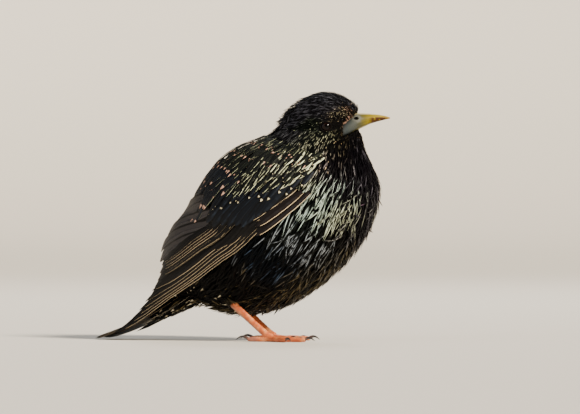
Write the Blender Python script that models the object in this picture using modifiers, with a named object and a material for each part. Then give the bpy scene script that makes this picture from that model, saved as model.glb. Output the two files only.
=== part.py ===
"""A common starling standing with its head turned a little to its left, life size.

The frame is metres, +X the way the breast faces, +Y the bird's left and +Z up, with the floor at Z = 0
and the origin under the middle of the whole bird. Sizes are written in millimetres, in a frame whose
X = 0 lies a little behind the toes, and MM turns them into metres when a mesh is made.
"""

import math

import bmesh
import bpy
import numpy as np
from mathutils.bvhtree import BVHTree

MM = 0.001
GAP = 0.3  # clear space left between two nodes that touch
SIDES = (("left", 1), ("right", -1))

PLUMAGE = (0.012, 0.016, 0.017)
HORN_YELLOW = (0.55, 0.48, 0.14)
EYE_BROWN = (0.02, 0.01, 0.006)
LEG_PINK = (0.62, 0.25, 0.14)
CLAW_GREY = (0.09, 0.06, 0.06)

# The trunk's rings, neck to tail: back point (x, z), belly point (x, z) and half width.
TRUNK_RINGS = (
    (30.0, 117.0, 45.0, 114.0, 6.0),
    (19.5, 118.0, 49.0, 107.5, 7.4),
    (13.5, 115.0, 51.5, 101.0, 9.2),
    (10.0, 110.5, 54.0, 94.5, 13.0),
    (5.0, 105.5, 57.5, 86.5, 19.2),
    (-2.0, 101.5, 59.5, 78.5, 25.2),
    (-11.5, 98.0, 58.5, 68.5, 29.5),
    (-20.0, 92.5, 55.0, 59.0, 32.0),
    (-27.5, 84.5, 49.5, 49.5, 33.5),
    (-33.5, 75.5, 42.0, 40.0, 33.5),
    (-37.5, 66.0, 33.0, 31.5, 31.5),
)
RUMP_RINGS = (
    (-39.5, 56.5, 22.5, 24.0, 27.5),
    (-41.0, 49.0, 8.0, 17.0, 22.0),
    (-42.0, 43.0, -9.0, 14.0, 16.5),
    (-42.8, 37.8, -22.5, 15.5, 12.0),
    (-43.2, 32.7, -32.8, 18.8, 9.0),
    (-48.2, 26.1, -40.4, 16.1, 8.0),
    (-54.6, 18.6, -50.2, 12.0, 7.2),
    (-62.0, 12.1, -60.0, 8.7, 6.0),
)
# The bed that the folded wings lie on: the trunk from its shoulders, then on past the tail's root.
BED_FROM = 4
BED_RINGS = (
    (-44.5, 57.5, 21.0, 25.5, 29.8),
    (-49.5, 49.0, 2.7, 18.5, 26.0),
    (-52.3, 41.0, -15.6, 15.0, 21.8),
    (-54.8, 34.0, -31.8, 12.5, 18.4),
    (-59.5, 26.5, -44.2, 10.0, 15.8),
    (-65.0, 19.5, -53.9, 7.0, 14.2),
    (-73.0, 12.5, -64.2, 3.0, 13.2),
    (-82.0, 6.5, -76.0, -1.0, 12.6),
)
# The head's rings, bill to nape, before it is turned.
HEAD_RINGS = (
    (49.4, 113.4, 49.2, 105.6, 3.6),
    (48.2, 116.8, 47.8, 103.6, 5.2),
    (44.8, 120.2, 45.5, 101.2, 7.3),
    (40.3, 122.8, 42.5, 98.6, 9.4),
    (34.6, 124.2, 38.5, 96.2, 11.0),
    (28.6, 123.8, 34.5, 94.6, 11.8),
    (22.6, 121.5, 30.5, 94.2, 11.8),
    (17.9, 118.5, 26.0, 95.5, 10.8),
    (14.6, 115.3, 21.5, 98.0, 8.6),
    (12.8, 112.3, 17.6, 101.0, 5.2),
)
HEAD_TURN = math.radians(20)  # to the bird's left
TURN_CENTRE_X = 29.0
TURNED_RINGS = 4.0  # the turn dies out over this many trunk rings


# Points on the body


def ring_at(rings, u):
    """The ring at place u along a table of rings, on a smooth curve through them."""
    table = np.asarray(rings, float)
    last = len(table) - 1
    u = min(max(u, 0.0), float(last))
    i = min(int(u), last - 1)
    t = u - i
    before = table[i - 1] if i else 2 * table[0] - table[1]
    after = table[i + 2] if i + 2 <= last else 2 * table[last] - table[last - 1]
    a, b = table[i], table[i + 1]
    return 0.5 * (
        2 * a
        + (b - before) * t
        + (2 * before - 5 * a + 4 * b - after) * t * t
        + (3 * a - before - 3 * b + after) * t**3
    )


def ring_point(rings, u, angle, side=1):
    """A point on the body: angle 0 on the back, pi on the belly."""
    back_x, back_z, belly_x, belly_z, half = ring_at(rings, u)
    c = math.cos(angle)
    return np.array(
        (
            (back_x + belly_x) / 2 + (back_x - belly_x) / 2 * c,
            side * half * math.sin(angle),
            (back_z + belly_z) / 2 + (back_z - belly_z) / 2 * c,
        )
    )


def turned(point, share=1.0):
    """The point turned about the upright line through the neck, by a share of the head's turn."""
    x, y, z = point
    c, s = math.cos(HEAD_TURN * share), math.sin(HEAD_TURN * share)
    return np.array(
        (TURN_CENTRE_X + (x - TURN_CENTRE_X) * c - y * s, (x - TURN_CENTRE_X) * s + y * c, z)
    )


def smooth(t):
    t = min(max(t, 0.0), 1.0)
    return t * t * (3 - 2 * t)


def unit(vector):
    vector = np.asarray(vector, float)
    return vector / np.linalg.norm(vector)


# Closed meshes from points in millimetres


def object_of(bm, name):
    bmesh.ops.recalc_face_normals(bm, faces=bm.faces)
    mesh = bpy.data.meshes.new(name)
    bm.to_mesh(mesh)
    bm.free()
    obj = bpy.data.objects.new(name, mesh)
    bpy.context.scene.collection.objects.link(obj)
    return obj


def loft(name, rings):
    """A closed solid through rings of points, all with the same count."""
    bm = bmesh.new()
    rows = [[bm.verts.new(np.asarray(p) * MM) for p in ring] for ring in rings]
    count = len(rows[0])
    for row, after in zip(rows, rows[1:]):
        for i in range(count):
            j = (i + 1) % count
            bm.faces.new((row[i], row[j], after[j]))
            bm.faces.new((row[i], after[j], after[i]))
    for row in (rows[0], rows[-1]):
        middle = bm.verts.new(sum((np.array(v.co) for v in row), np.zeros(3)) / count)
        for i in range(count):
            bm.faces.new((row[i], row[(i + 1) % count], middle))
    return object_of(bm, name)


def plate(name, upper, lower):
    """A thin closed plate between two grids of points, split into triangles alike on both faces."""
    bm = bmesh.new()
    top = [[bm.verts.new(np.asarray(p) * MM) for p in row] for row in upper]
    bottom = [[bm.verts.new(np.asarray(p) * MM) for p in row] for row in lower]
    for grid in (top, bottom):
        for row, after in zip(grid, grid[1:]):
            for i in range(len(row) - 1):
                bm.faces.new((row[i], row[i + 1], after[i + 1]))
                bm.faces.new((row[i], after[i + 1], after[i]))
    rim = [(r, 0) for r in range(len(top))] + [(len(top) - 1, c) for c in range(1, len(top[0]))]
    rim += [(r, len(top[0]) - 1) for r in range(len(top) - 2, -1, -1)]
    rim += [(0, c) for c in range(len(top[0]) - 2, 0, -1)]
    for (r, c), (rr, cc) in zip(rim, rim[1:] + rim[:1]):
        bm.faces.new((top[r][c], top[rr][cc], bottom[rr][cc]))
        bm.faces.new((top[r][c], bottom[rr][cc], bottom[r][c]))
    return object_of(bm, name)


def tube(name, path, radii, sides=8, flat=1.0):
    """A closed tapering tube along a path that runs mostly fore and aft, flat times as wide."""
    path = np.asarray(path, float)
    rings = []
    for i, centre in enumerate(path):
        along = unit(path[min(i + 1, len(path) - 1)] - path[max(i - 1, 0)])
        upright = unit(np.cross(along, (0, 1, 0)))
        across = np.cross(along, upright)
        turns = [2 * math.pi * k / sides for k in range(sides)]
        rings.append(
            [centre + radii[i] * (across * flat * math.cos(a) + upright * math.sin(a)) for a in turns]
        )
    return loft(name, rings)


def ellipsoid(name, centre, radii, segments, rings):
    bm = bmesh.new()
    bmesh.ops.create_uvsphere(bm, u_segments=segments, v_segments=rings, radius=1)
    for v in bm.verts:
        v.co = (np.array(v.co) * radii + centre) * MM
    return object_of(bm, name)


def vane(name, places, normals, width, thickness, widths, tilt=0.0):
    """A feather's vane or a flat lock: a thin plate along places, each with its outward normal.

    A tilt, in radians, lifts one long edge and drops the other, as in shingles.
    """
    upper, lower = [], []
    last = len(places) - 1
    for i, (place, normal) in enumerate(zip(places, normals)):
        along = unit(places[min(i + 1, last)] - places[max(i - 1, 0)])
        beside = unit(np.cross(normal, along))
        across = (beside * math.cos(tilt) + normal * math.sin(tilt)) * width / 2 * widths[i]
        raised = normal * thickness / 2 * (1 if i < last else 0.6)
        upper.append((place - across + raised, place + across + raised))
        lower.append((place - across - raised, place + across - raised))
    return plate(name, upper, lower)


# Joining, cutting and finishing


def evaluated_copy(obj, name):
    """A plain mesh object of what the modifiers on obj make, in place of obj."""
    bpy.context.view_layer.update()
    graph = bpy.context.evaluated_depsgraph_get()
    mesh = bpy.data.meshes.new_from_object(obj.evaluated_get(graph))
    bpy.data.objects.remove(obj)
    mesh.name = name
    made = bpy.data.objects.new(name, mesh)
    bpy.context.scene.collection.objects.link(made)
    return made


def largest_only(obj):
    """Deletes all but the largest closed surface."""
    bm = bmesh.new()
    bm.from_mesh(obj.data)
    left = set(bm.verts)
    islands = []
    while left:
        stack = [left.pop()]
        island = set(stack)
        while stack:
            for edge in stack.pop().link_edges:
                for v in edge.verts:
                    if v in left:
                        left.discard(v)
                        island.add(v)
                        stack.append(v)
        islands.append(island)

    def span(island):
        places = np.array([v.co for v in island])
        return float(np.prod(places.max(0) - places.min(0) + 1e-6))

    islands.sort(key=span)
    for island in islands[:-1]:
        bmesh.ops.delete(bm, geom=list(island), context="VERTS")
    bmesh.ops.triangulate(bm, faces=bm.faces)
    bm.to_mesh(obj.data)
    bm.free()
    return obj


def combined(name, base, others, operation="UNION"):
    """base joined with, or cut by, the other closed meshes, which are removed."""
    group = bpy.data.collections.new(name + "_pieces")
    bpy.context.scene.collection.children.link(group)
    for obj in others:
        bpy.context.scene.collection.objects.unlink(obj)
        group.objects.link(obj)
    modifier = base.modifiers.new("join", "BOOLEAN")
    modifier.operation = operation
    modifier.operand_type = "COLLECTION"
    modifier.collection = group
    modifier.solver = "MANIFOLD"
    made = evaluated_copy(base, name)
    for obj in others:
        bpy.data.objects.remove(obj)
    bpy.data.collections.remove(group)
    return largest_only(made)


def clipped(obj, name, place, normal):
    """A copy of obj with what lies on the normal's side of a plane cut off."""
    bm = bmesh.new()
    bm.from_mesh(obj.data)
    cut = bmesh.ops.bisect_plane(
        bm,
        geom=list(bm.verts) + list(bm.edges) + list(bm.faces),
        dist=1e-7,
        plane_co=np.asarray(place) * MM,
        plane_no=normal,
        clear_outer=True,
    )
    rim = [g for g in cut["geom_cut"] if isinstance(g, bmesh.types.BMEdge)]
    made = bmesh.ops.edgeloop_fill(bm, edges=rim)
    bmesh.ops.triangulate(bm, faces=made["faces"])
    return object_of(bm, name)


def parted(obj, below_name, above_name, place, normal):
    """The two sides of a plane, with the gap between them; obj is removed."""
    normal = unit(normal)
    below = largest_only(clipped(obj, below_name, place - normal * GAP / 2, normal))
    above = largest_only(clipped(obj, above_name, place + normal * GAP / 2, -normal))
    bpy.data.objects.remove(obj)
    return below, above


def finished(obj, colour, roughness=0.5):
    """Smooth shading and the node's own material."""
    material = bpy.data.materials.new(obj.name + "_finish")
    material.use_nodes = True
    shader = material.node_tree.nodes["Principled BSDF"]
    shader.inputs["Base Color"].default_value = (*colour, 1)
    shader.inputs["Roughness"].default_value = roughness
    shader.inputs["Metallic"].default_value = 0.0
    obj.data.materials.clear()
    obj.data.materials.append(material)
    obj.data.shade_smooth()
    obj.data.set_sharp_from_angle(angle=math.radians(40))
    STARLING.objects.link(obj)
    bpy.context.scene.collection.objects.unlink(obj)
    return obj


for old in list(bpy.data.objects):
    bpy.data.objects.remove(old)
STARLING = bpy.data.collections.new("starling")
bpy.context.scene.collection.children.link(STARLING)


# Body: trunk and head lofts melted into one skin
AROUND = 40
STEPS_PER_RING = 2
SKIN_VOXEL = 1.1
SKIN_SMOOTHINGS = 14
BODY_TRIANGLES = 1850
TRUNK_ALL = TRUNK_RINGS + RUMP_RINGS


def trunk_point(u, angle):
    """A point on the trunk, with the neck turned along with the head."""
    return turned(ring_point(TRUNK_ALL, u, angle), 1 - smooth(u / TURNED_RINGS))


def trunk_loft():
    steps = (len(TRUNK_ALL) - 1) * STEPS_PER_RING
    around = [2 * math.pi * k / AROUND for k in range(AROUND)]
    return loft("trunk", [[trunk_point(i / STEPS_PER_RING, a) for a in around] for i in range(steps + 1)])


def head_loft():
    steps = (len(HEAD_RINGS) - 1) * STEPS_PER_RING
    around = [2 * math.pi * k / AROUND for k in range(AROUND)]
    rings = []
    for i in range(steps + 1):
        rings.append([turned(ring_point(HEAD_RINGS, i / STEPS_PER_RING, a)) for a in around])
    return loft("cranium", rings)


def skin():
    body = combined("body", trunk_loft(), [head_loft()])
    remesh = body.modifiers.new("melt", "REMESH")
    remesh.mode = "VOXEL"
    remesh.voxel_size = SKIN_VOXEL * MM
    soften = body.modifiers.new("soften", "SMOOTH")
    soften.iterations = SKIN_SMOOTHINGS
    body = evaluated_copy(body, "body")
    triangles = sum(len(p.vertices) - 2 for p in body.data.polygons)
    thin = body.modifiers.new("thin", "DECIMATE")
    thin.ratio = BODY_TRIANGLES / triangles
    return evaluated_copy(body, "body")


body = skin()
BPY_GRAPH = bpy.context.evaluated_depsgraph_get()
BODY_SURFACE = BVHTree.FromObject(body, BPY_GRAPH)


def on_skin(point):
    """The nearest place on the body's skin, with the outward normal there."""
    place, normal, _, _ = BODY_SURFACE.find_nearest(np.asarray(point) * MM)
    return np.array(place) / MM, np.array(normal)


# Eyes, with a ring of lid that stands proud of the skin round each
EYE_PLACE = (32.7, 9.1, 106.8)
EYE_RADIUS = 3.2
LID_REACH = 3.75  # from the eye's middle to the middle of the lid
LID_RADIUS = 0.75
LID_OPENING = (math.radians(52), math.radians(39))  # half the opening, fore and aft and up and down
LID_STEPS = 12
LID_SIDES = 5


def eye(name, side, grow=0.0):
    x, y, z = EYE_PLACE
    radius = EYE_RADIUS + grow
    return ellipsoid(name, turned((x, side * y, z)), (radius, radius, radius), 12, 8)


def lids(side):
    """A tube bent round the eye's opening, which is wider than it is tall."""
    middle = np.array((EYE_PLACE[0], side * EYE_PLACE[1], EYE_PLACE[2]))
    line = []
    for n in range(LID_STEPS):
        turn = 2 * math.pi * n / LID_STEPS
        wide, tall = LID_OPENING
        reach = wide * math.cos(turn) ** 2 + tall * math.sin(turn) ** 2
        out = (math.sin(reach) * math.cos(turn), side * math.cos(reach), math.sin(reach) * math.sin(turn))
        line.append(np.array(out) * LID_REACH + middle)
    bm = bmesh.new()
    rows = []
    for n in range(LID_STEPS):
        along = unit(line[(n + 1) % LID_STEPS] - line[n - 1])
        out = unit(line[n] - middle)
        beside = np.cross(along, out)
        turns = [2 * math.pi * k / LID_SIDES for k in range(LID_SIDES)]
        ring = [line[n] + LID_RADIUS * (out * math.cos(a) + beside * math.sin(a)) for a in turns]
        rows.append([bm.verts.new(turned(p) * MM) for p in ring])
    for n in range(LID_STEPS):
        after = rows[(n + 1) % LID_STEPS]
        for k in range(LID_SIDES):
            j = (k + 1) % LID_SIDES
            bm.faces.new((rows[n][k], rows[n][j], after[j], after[k]))
    return object_of(bm, "lids")


# Bill: place along the head, top, line of the mouth, lower edge and half width
BILL_SECTIONS = (
    (41.6, 105.2, 104.0, 102.2, 6.6),
    (44.6, 110.0, 105.9, 103.6, 6.2),
    (47.6, 113.9, 107.8, 105.2, 5.2),
    (50.6, 113.7, 109.0, 106.6, 4.3),
    (54.6, 113.5, 110.1, 108.4, 3.3),
    (58.6, 113.1, 110.8, 109.6, 2.2),
    (62.1, 112.4, 111.1, 110.5, 1.1),
    (64.4, 111.6, 111.2, 110.95, 0.35),
)
BILL_ARC = 9
NOSTRIL = (49.6, 3.9, 111.6)
NOSTRIL_RADII = (1.1, 1.0, 0.5)


def bill_half(name, upper, grow=0.0):
    """The upper or lower half of the bill, half round, with a flat at the line of the mouth."""
    base = BILL_SECTIONS[0]
    sections = ((base[0] - grow, *base[1:]), *BILL_SECTIONS) if grow else BILL_SECTIONS
    rings = []
    for x, top, mouth, bottom, half in sections:
        level = mouth + (GAP / 2 - grow if upper else grow - GAP / 2)
        height = top + grow - level if upper else bottom - grow - level
        ring = []
        for k in range(BILL_ARC):
            a = math.pi * (k / (BILL_ARC - 1) - 0.5)
            across = (half + grow) * math.sin(a)
            ring.append(turned((x, across, level + height * math.cos(a) ** 0.8)))
        rings.append(ring)
    return loft(name, rings)


def upper_bill():
    nostrils = []
    for _, side in SIDES:
        place = turned((NOSTRIL[0], side * NOSTRIL[1], NOSTRIL[2]))
        nostrils.append(ellipsoid("nostril", place, NOSTRIL_RADII, 8, 4))
    return combined("upper_bill", bill_half("upper", True), nostrils, "DIFFERENCE")


# Legs: each thigh in its feathers, the bare tarsus, and the toes flat on the floor
LEG_SETBACK = {1: 6.8, -1: -1.7}  # the left foot stands behind the right one
THIGH = ((6.0, 12.0, 36.0), (-4.0, 13.5, 29.5), (-10.0, 14.2, 24.0), (-13.0, 14.4, 21.0))
THIGH_RADII = (7.5, 7.2, 4.4, 2.5)
TARSUS = ((-14.0, 14.4, 20.0), (-11.5, 14.2, 17.2), (-2.0, 13.4, 8.8), (4.2, 12.8, 3.6), (6.6, 12.6, 2.0))
TARSUS_RADII = (2.2, 1.8, 1.6, 1.8, 2.0)
TARSUS_FLAT = 0.75
FOOT_PARTING = ((2.9, 13.0, 4.8), (0.72, 0.0, -0.69))
TOE_ROOT = (6.0, 12.6)
# Each toe: its heading in degrees outward from straight ahead, its length and its claw's length.
TOES = {
    "inner": (-24, 13.5, 5.5),
    "middle": (3, 19.5, 6.5),
    "outer": (34, 14.5, 5.5),
    "hind": (177, 11.5, 8.0),
}
TOE_RADIUS = 1.3
TOE_HEIGHT = 1.15  # of a toe's middle, so that its underside is cut to a flat at the floor
TOE_SHARES = (0.0, 0.25, 0.45, 0.58, 0.8, 1.0)
TOE_SWELLS = (1.35, 1.0, 0.9, 1.05, 0.95, 0.72)
CLAW_RADIUS = 0.8
CLAW_STEPS = 5
CLAW_SUNK = 0.6  # how far back from the toe's end a claw begins, before its root is cut flat


def leg_points(points, side):
    return [(x - LEG_SETBACK[side], side * y, z) for x, y, z in points]


def thigh(name, side, grow=0.0):
    return tube(name, leg_points(THIGH, side), [r + grow for r in THIGH_RADII], 12)


def tarsus(name, side, grow=0.0):
    return tube(name, leg_points(TARSUS, side), [r + grow for r in TARSUS_RADII], 10, TARSUS_FLAT)


def toe_root_and_way(kind, side):
    heading = math.radians(TOES[kind][0])
    root = np.array((TOE_ROOT[0] - LEG_SETBACK[side], side * TOE_ROOT[1], 0))
    return root, np.array((math.cos(heading), side * math.sin(heading), 0))


def toe(kind, side):
    root, way = toe_root_and_way(kind, side)
    length = TOES[kind][1]
    path = []
    for share in TOE_SHARES:
        height = TOE_HEIGHT + 0.5 * max(0.0, 1 - 3 * share)
        path.append(root + way * length * share + (0, 0, height))
    return tube(kind, path, [TOE_RADIUS * k for k in TOE_SWELLS], 7)


def claw(name, kind, side):
    """A claw that rises from its toe, bends over and comes down to the floor at its tip."""
    root, way = toe_root_and_way(kind, side)
    _, length, reach = TOES[kind]
    path, radii = [], []
    for n in range(CLAW_STEPS + 1):
        t = n / CLAW_STEPS
        height = TOE_HEIGHT + 0.22 * reach * math.sin(math.pi * t * 0.9) - 1.0 * t**1.5
        path.append(root + way * (length - CLAW_SUNK + 0.9 * reach * t) + (0, 0, height))
        radii.append(CLAW_RADIUS * (1 - t) ** 0.75 + 0.12)
    whole = tube("claw", path, radii, 5)
    cut = clipped(whole, name, root + way * (length + GAP), -way)
    bpy.data.objects.remove(whole)
    return cut


def foot_and_tarsus(side, word):
    place, normal = FOOT_PARTING
    shank, stub = parted(tarsus("leg", side), "tarsus_" + word, "stub", leg_points([place], side)[0], normal)
    foot = combined("foot", stub, [toe(kind, side) for kind in TOES])
    flat = clipped(foot, "foot_" + word, (0, 0, 0), (0, 0, -1))
    bpy.data.objects.remove(foot)
    return flat, shank


# Wings: rows of vanes on the bed, each row over the one below, joined by a pad along the arm
FLIGHT_SHARES = (0.0, 0.2, 0.5, 0.86, 1.0)
FLIGHT_WIDTHS = (0.4, 0.75, 1.0, 0.75, 0.16)
COVERT_SHARES = (0.0, 0.62, 1.0)
COVERT_WIDTHS = (0.5, 1.0, 0.3)
VANE_THICKNESS = 0.55
SHINGLE_TILT = math.radians(5)
BED = TRUNK_RINGS[BED_FROM:] + BED_RINGS
# The pad under the coverts: place along the bed, then its upper and lower edge in degrees.
PAD_EDGES = (
    (1.9, 98, 116),
    (2.5, 82, 114),
    (3.2, 66, 110),
    (4.0, 56, 106),
    (4.8, 50, 102),
    (5.6, 50, 97),
    (6.3, 56, 92),
)
PAD_COLUMNS = 4
# Each row of coverts: its first and last root, its first and last tip, how many, lift and width.
COVERT_ROWS = (
    (((3.4, 104), (4.6, 88)), ((5.3, 98), (6.7, 82)), 3, 2.0, 5.6),
    (((2.3, 115), (2.3, 115)), ((4.95, 104), (4.95, 104)), 1, 2.4, 5.5),
    (((2.9, 104), (4.5, 54)), ((4.8, 96), (6.2, 50)), 6, 2.7, 7.2),
    (((2.0, 109), (4.0, 56)), ((3.1, 102), (5.4, 52)), 5, 2.7, 7.6),
    (((1.75, 112), (3.2, 64)), ((2.4, 105), (4.3, 57)), 4, 2.4, 8.0),
)
PAD_INNER = 0.5
PAD_OUTER = 1.4


def bed_frame(u, degrees, side):
    """A place on the wing's bed, with the outward normal there."""
    step = 0.02
    angle = math.radians(degrees)
    along = ring_point(BED, u + step, angle, side) - ring_point(BED, u - step, angle, side)
    around = ring_point(BED, u, angle + step, side) - ring_point(BED, u, angle - step, side)
    return ring_point(BED, u, angle, side), unit(np.cross(along, around) * -side)


def wing_pad(side):
    upper, lower = [], []
    for u, first, last in PAD_EDGES:
        shares = [k / PAD_COLUMNS for k in range(PAD_COLUMNS + 1)]
        places = [bed_frame(u, first + (last - first) * share, side) for share in shares]
        upper.append([place + normal * PAD_OUTER for place, normal in places])
        lower.append([place + normal * PAD_INNER for place, normal in places])
    return plate("pad", upper, lower)


def wing_vane(root, tip, lifts, width, side, shares, widths):
    """A vane on the bed from root to tip, each (u, degrees), lifted off it from lifts[0] to lifts[1].

    The root may have a third value, the degrees by which the middle bows towards the back.
    """
    bow = root[2] if len(root) > 2 else 0.0
    places, normals = [], []
    for t in shares:
        u = root[0] + (tip[0] - root[0]) * t
        degrees = root[1] + (tip[1] - root[1]) * t - bow * 4 * t * (1 - t)
        place, normal = bed_frame(u, degrees, side)
        places.append(place + normal * (lifts[0] + (lifts[1] - lifts[0]) * t**0.7))
        normals.append(normal)
    return vane("vane", places, normals, width, VANE_THICKNESS, widths, SHINGLE_TILT * side)


def between(first, last, count):
    """count pairs, evenly from first to last."""
    shares = [i / max(count - 1, 1) for i in range(count)]
    return [tuple(a + (b - a) * share for a, b in zip(first, last)) for share in shares]


def flight_row(side, roots, tips, lifts, width):
    rows = zip(roots, tips, lifts)
    return [wing_vane(r, t, lift, width, side, FLIGHT_SHARES, FLIGHT_WIDTHS) for r, t, lift in rows]


def covert_row(side, roots, tips, lifts, width):
    rows = zip(roots, tips, lifts)
    return [wing_vane(r, t, lift, width, side, COVERT_SHARES, COVERT_WIDTHS) for r, t, lift in rows]


def primaries(side):
    count = 7
    shares = [i / (count - 1) for i in range(count)]
    tips = [(10.1 + 3.6 * s**0.95, 58 + 38 * s**0.85) for s in shares]
    lifts = [(1.35, 2.7 - 0.4 * s) for s in shares]
    return flight_row(side, between((5.1, 82, 2), (3.7, 101, 8), count), tips, lifts, 6.6)


def secondaries(side):
    count = 4
    roots = between((4.9, 80), (4.7, 60), count)
    tips = between((9.85, 48), (9.45, 30), count)
    return flight_row(side, roots, tips, between((1.05, 2.6), (1.05, 3.1), count), 7.4)


def tertials(side):
    tips = ((9.15, 27), (8.6, 22), (7.6, 19))
    return flight_row(side, between((5.0, 58), (4.9, 46), 3), tips, between((1.3, 3.3), (1.5, 3.9), 3), 8.6)


def wing_coverts(side):
    rows = []
    for roots, tips, count, lift, width in COVERT_ROWS:
        lifts = [(0.95, lift)] * count
        rows += covert_row(side, between(*roots, count), between(*tips, count), lifts, width)
    return rows


def wing(name, side):
    vanes = primaries(side) + secondaries(side) + tertials(side) + wing_coverts(side)
    return combined(name, wing_pad(side), vanes)


# Tail: twelve feathers, and coverts above and below them, on one line bent down to the floor
TAIL_ROOT = (-37.0, 27.6)
TAIL_SLOPES = (math.radians(38), math.radians(15))
TAIL_LENGTH = 61.0
TAIL_PAIRS = 6
TAIL_STEPS = 24


def tail_frame(s, across, lift):
    """A place s along the tail's line, aside from it and lifted off it, with the upward normal there."""
    first, last = TAIL_SLOPES
    x, z = TAIL_ROOT
    for n in range(TAIL_STEPS):
        slope = first + (last - first) * s * (n + 0.5) / TAIL_STEPS / TAIL_LENGTH
        x -= math.cos(slope) * s / TAIL_STEPS
        z -= math.sin(slope) * s / TAIL_STEPS
    slope = first + (last - first) * s / TAIL_LENGTH
    up = np.array((-math.sin(slope), 0, math.cos(slope)))
    return np.array((x, across, z)) + up * lift, up


def tail_vane(start, end, aside, lifts, width, shares, widths, tilt):
    places, normals = [], []
    for t in shares:
        across = aside[0] + (aside[1] - aside[0]) * t
        place, up = tail_frame(start + (end - start) * t, across, lifts[0] + (lifts[1] - lifts[0]) * t)
        places.append(place)
        normals.append(unit(up + np.array((0, math.tan(tilt), 0))))
    return vane("tail_vane", places, normals, width, VANE_THICKNESS, widths)


def tail_feathers():
    vanes = []
    for pair in range(TAIL_PAIRS):
        for _, side in SIDES:
            low = -0.34 * pair + (0.17 if side > 0 else 0.0)
            end = TAIL_LENGTH - 2.0 + 2.0 * math.sin(math.pi * pair / (TAIL_PAIRS - 1))
            aside = (side * (0.8 + 0.9 * pair), side * (2.4 + 0.98 * pair))
            lifts = (0.3 + 0.4 * low, 0.9 + low)
            tilt = math.radians(6) * side
            vanes.append(tail_vane(8.0, end, aside, lifts, 8.4, FLIGHT_SHARES, FLIGHT_WIDTHS, tilt))
    return vanes


def tail_coverts(start, end, lifts, count, tilt):
    vanes = []
    for n in range(count):
        off = n - (count - 1) / 2
        tip = end - 1.5 * abs(off)
        aside = (off * 4.2, off * 5.0)
        vanes.append(tail_vane(start, tip, aside, lifts, 7.5, COVERT_SHARES, COVERT_WIDTHS, tilt * off))
    return vanes


def tail(core):
    vanes = tail_feathers()
    vanes += tail_coverts(9, 31, (2.6, 1.8), 2, 0.12)
    vanes += tail_coverts(4, 22, (3.9, 2.4), 3, 0.12)
    vanes += tail_coverts(8, 34, (-3.2, -2.6), 2, -0.12)
    vanes += tail_coverts(4, 24, (-4.6, -3.4), 3, -0.12)
    return combined("tail", core, vanes)


# Hackles, breast and vent feathers: flat locks that bend down the skin, rooted in it
LOCK_SHARES = (0.0, 0.14, 0.6, 1.0)
LOCK_WIDTHS = (0.9, 1.0, 0.8, 0.15)
LOCK_HEIGHTS = (-1.3, 0.5, 0.95, 1.3)
LOCK_THICKNESS = 0.5


def lock(start, length, degrees, lean, width, flare):
    """A lock from place start on the trunk, degrees round it, leaning aside by lean towards its tip."""
    places, normals = [], []
    angle = math.radians(degrees)
    pace = np.linalg.norm(trunk_point(start + 0.5, angle) - trunk_point(start, angle))
    reach = length / pace * 0.5
    for share, height in zip(LOCK_SHARES, LOCK_HEIGHTS):
        point = trunk_point(start + reach * share, math.radians(degrees + lean * share))
        place, normal = on_skin(point)
        places.append(place + normal * (height + flare * share**2))
        normals.append(normal)
    return vane("lock", places, normals, width, LOCK_THICKNESS, LOCK_WIDTHS)


def lock_row(starts, count, first, last, length, width, flare=0.0):
    """Locks on both sides of the body, spread from first to last degrees, shifted a little by turns.

    The row begins at starts[0] along the trunk at its first lock and at starts[1] at its last.
    """
    locks = []
    for n in range(count):
        share = n / (count - 1)
        degrees = first + (last - first) * share
        start = starts[0] + (starts[1] - starts[0]) * share
        shift = 0.12 * (n % 3 - 1)
        stretch = 1 + 0.1 * ((n * 2) % 3 - 1)
        for _, side in SIDES:
            if side < 0 and abs(degrees - 180) < 1:
                continue
            locks.append(lock(start + shift, length * stretch, side * degrees, side * 2.0, width, flare))
    return locks


# Parting the body, each cut a place and a normal
HEAD_CUT = ((32.0, 0.0, 101.0), (0.25, 0.0, 0.968))
NECK_CUT = ((29.0, 0.0, 90.0), (0.325, 0.0, 0.946))
TAIL_CUT = ((-38.0, 0.0, 26.0), (0.79, 0.0, 0.613))

body = combined("body", body, [lids(side) for _, side in SIDES])
cutters = [eye("socket", side, GAP) for _, side in SIDES] + [thigh("hollow", side, GAP) for _, side in SIDES]
cutters += [bill_half("gape", upper, GAP) for upper in (True, False)]
cutters += [tarsus("groove", side, GAP) for _, side in SIDES]
body = combined("body", body, cutters, "DIFFERENCE")
head_normal = turned(np.array(HEAD_CUT[1]) + (TURN_CENTRE_X, 0, 0)) - (TURN_CENTRE_X, 0, 0)
below, head = parted(body, "below", "head", turned(HEAD_CUT[0]), head_normal)
trunk, neck = parted(below, "trunk", "neck", np.array(NECK_CUT[0]), NECK_CUT[1])
tail_core, torso = parted(trunk, "tail_core", "torso", np.array(TAIL_CUT[0]), TAIL_CUT[1])

head = combined("head", head, lock_row((2.2, 2.2), 4, 128, 180, 8.5, 3.6, 1.0))
neck = combined("neck", neck, lock_row((4.2, 3.2), 8, 20, 180, 12.0, 4.6, 0.6))
torso_locks = lock_row((5.1, 5.1), 5, 118, 180, 13.0, 5.0)
torso_locks += lock_row((6.3, 6.3), 4, 124, 170, 13.0, 5.2, 0.4)
torso_locks += lock_row((12.2, 12.2), 2, 150, 172, 10.0, 5.0, 0.7)
torso_locks += lock_row((13.0, 13.0), 2, 148, 170, 9.0, 4.6, 1.0)
torso = combined("torso", torso, torso_locks)

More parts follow.
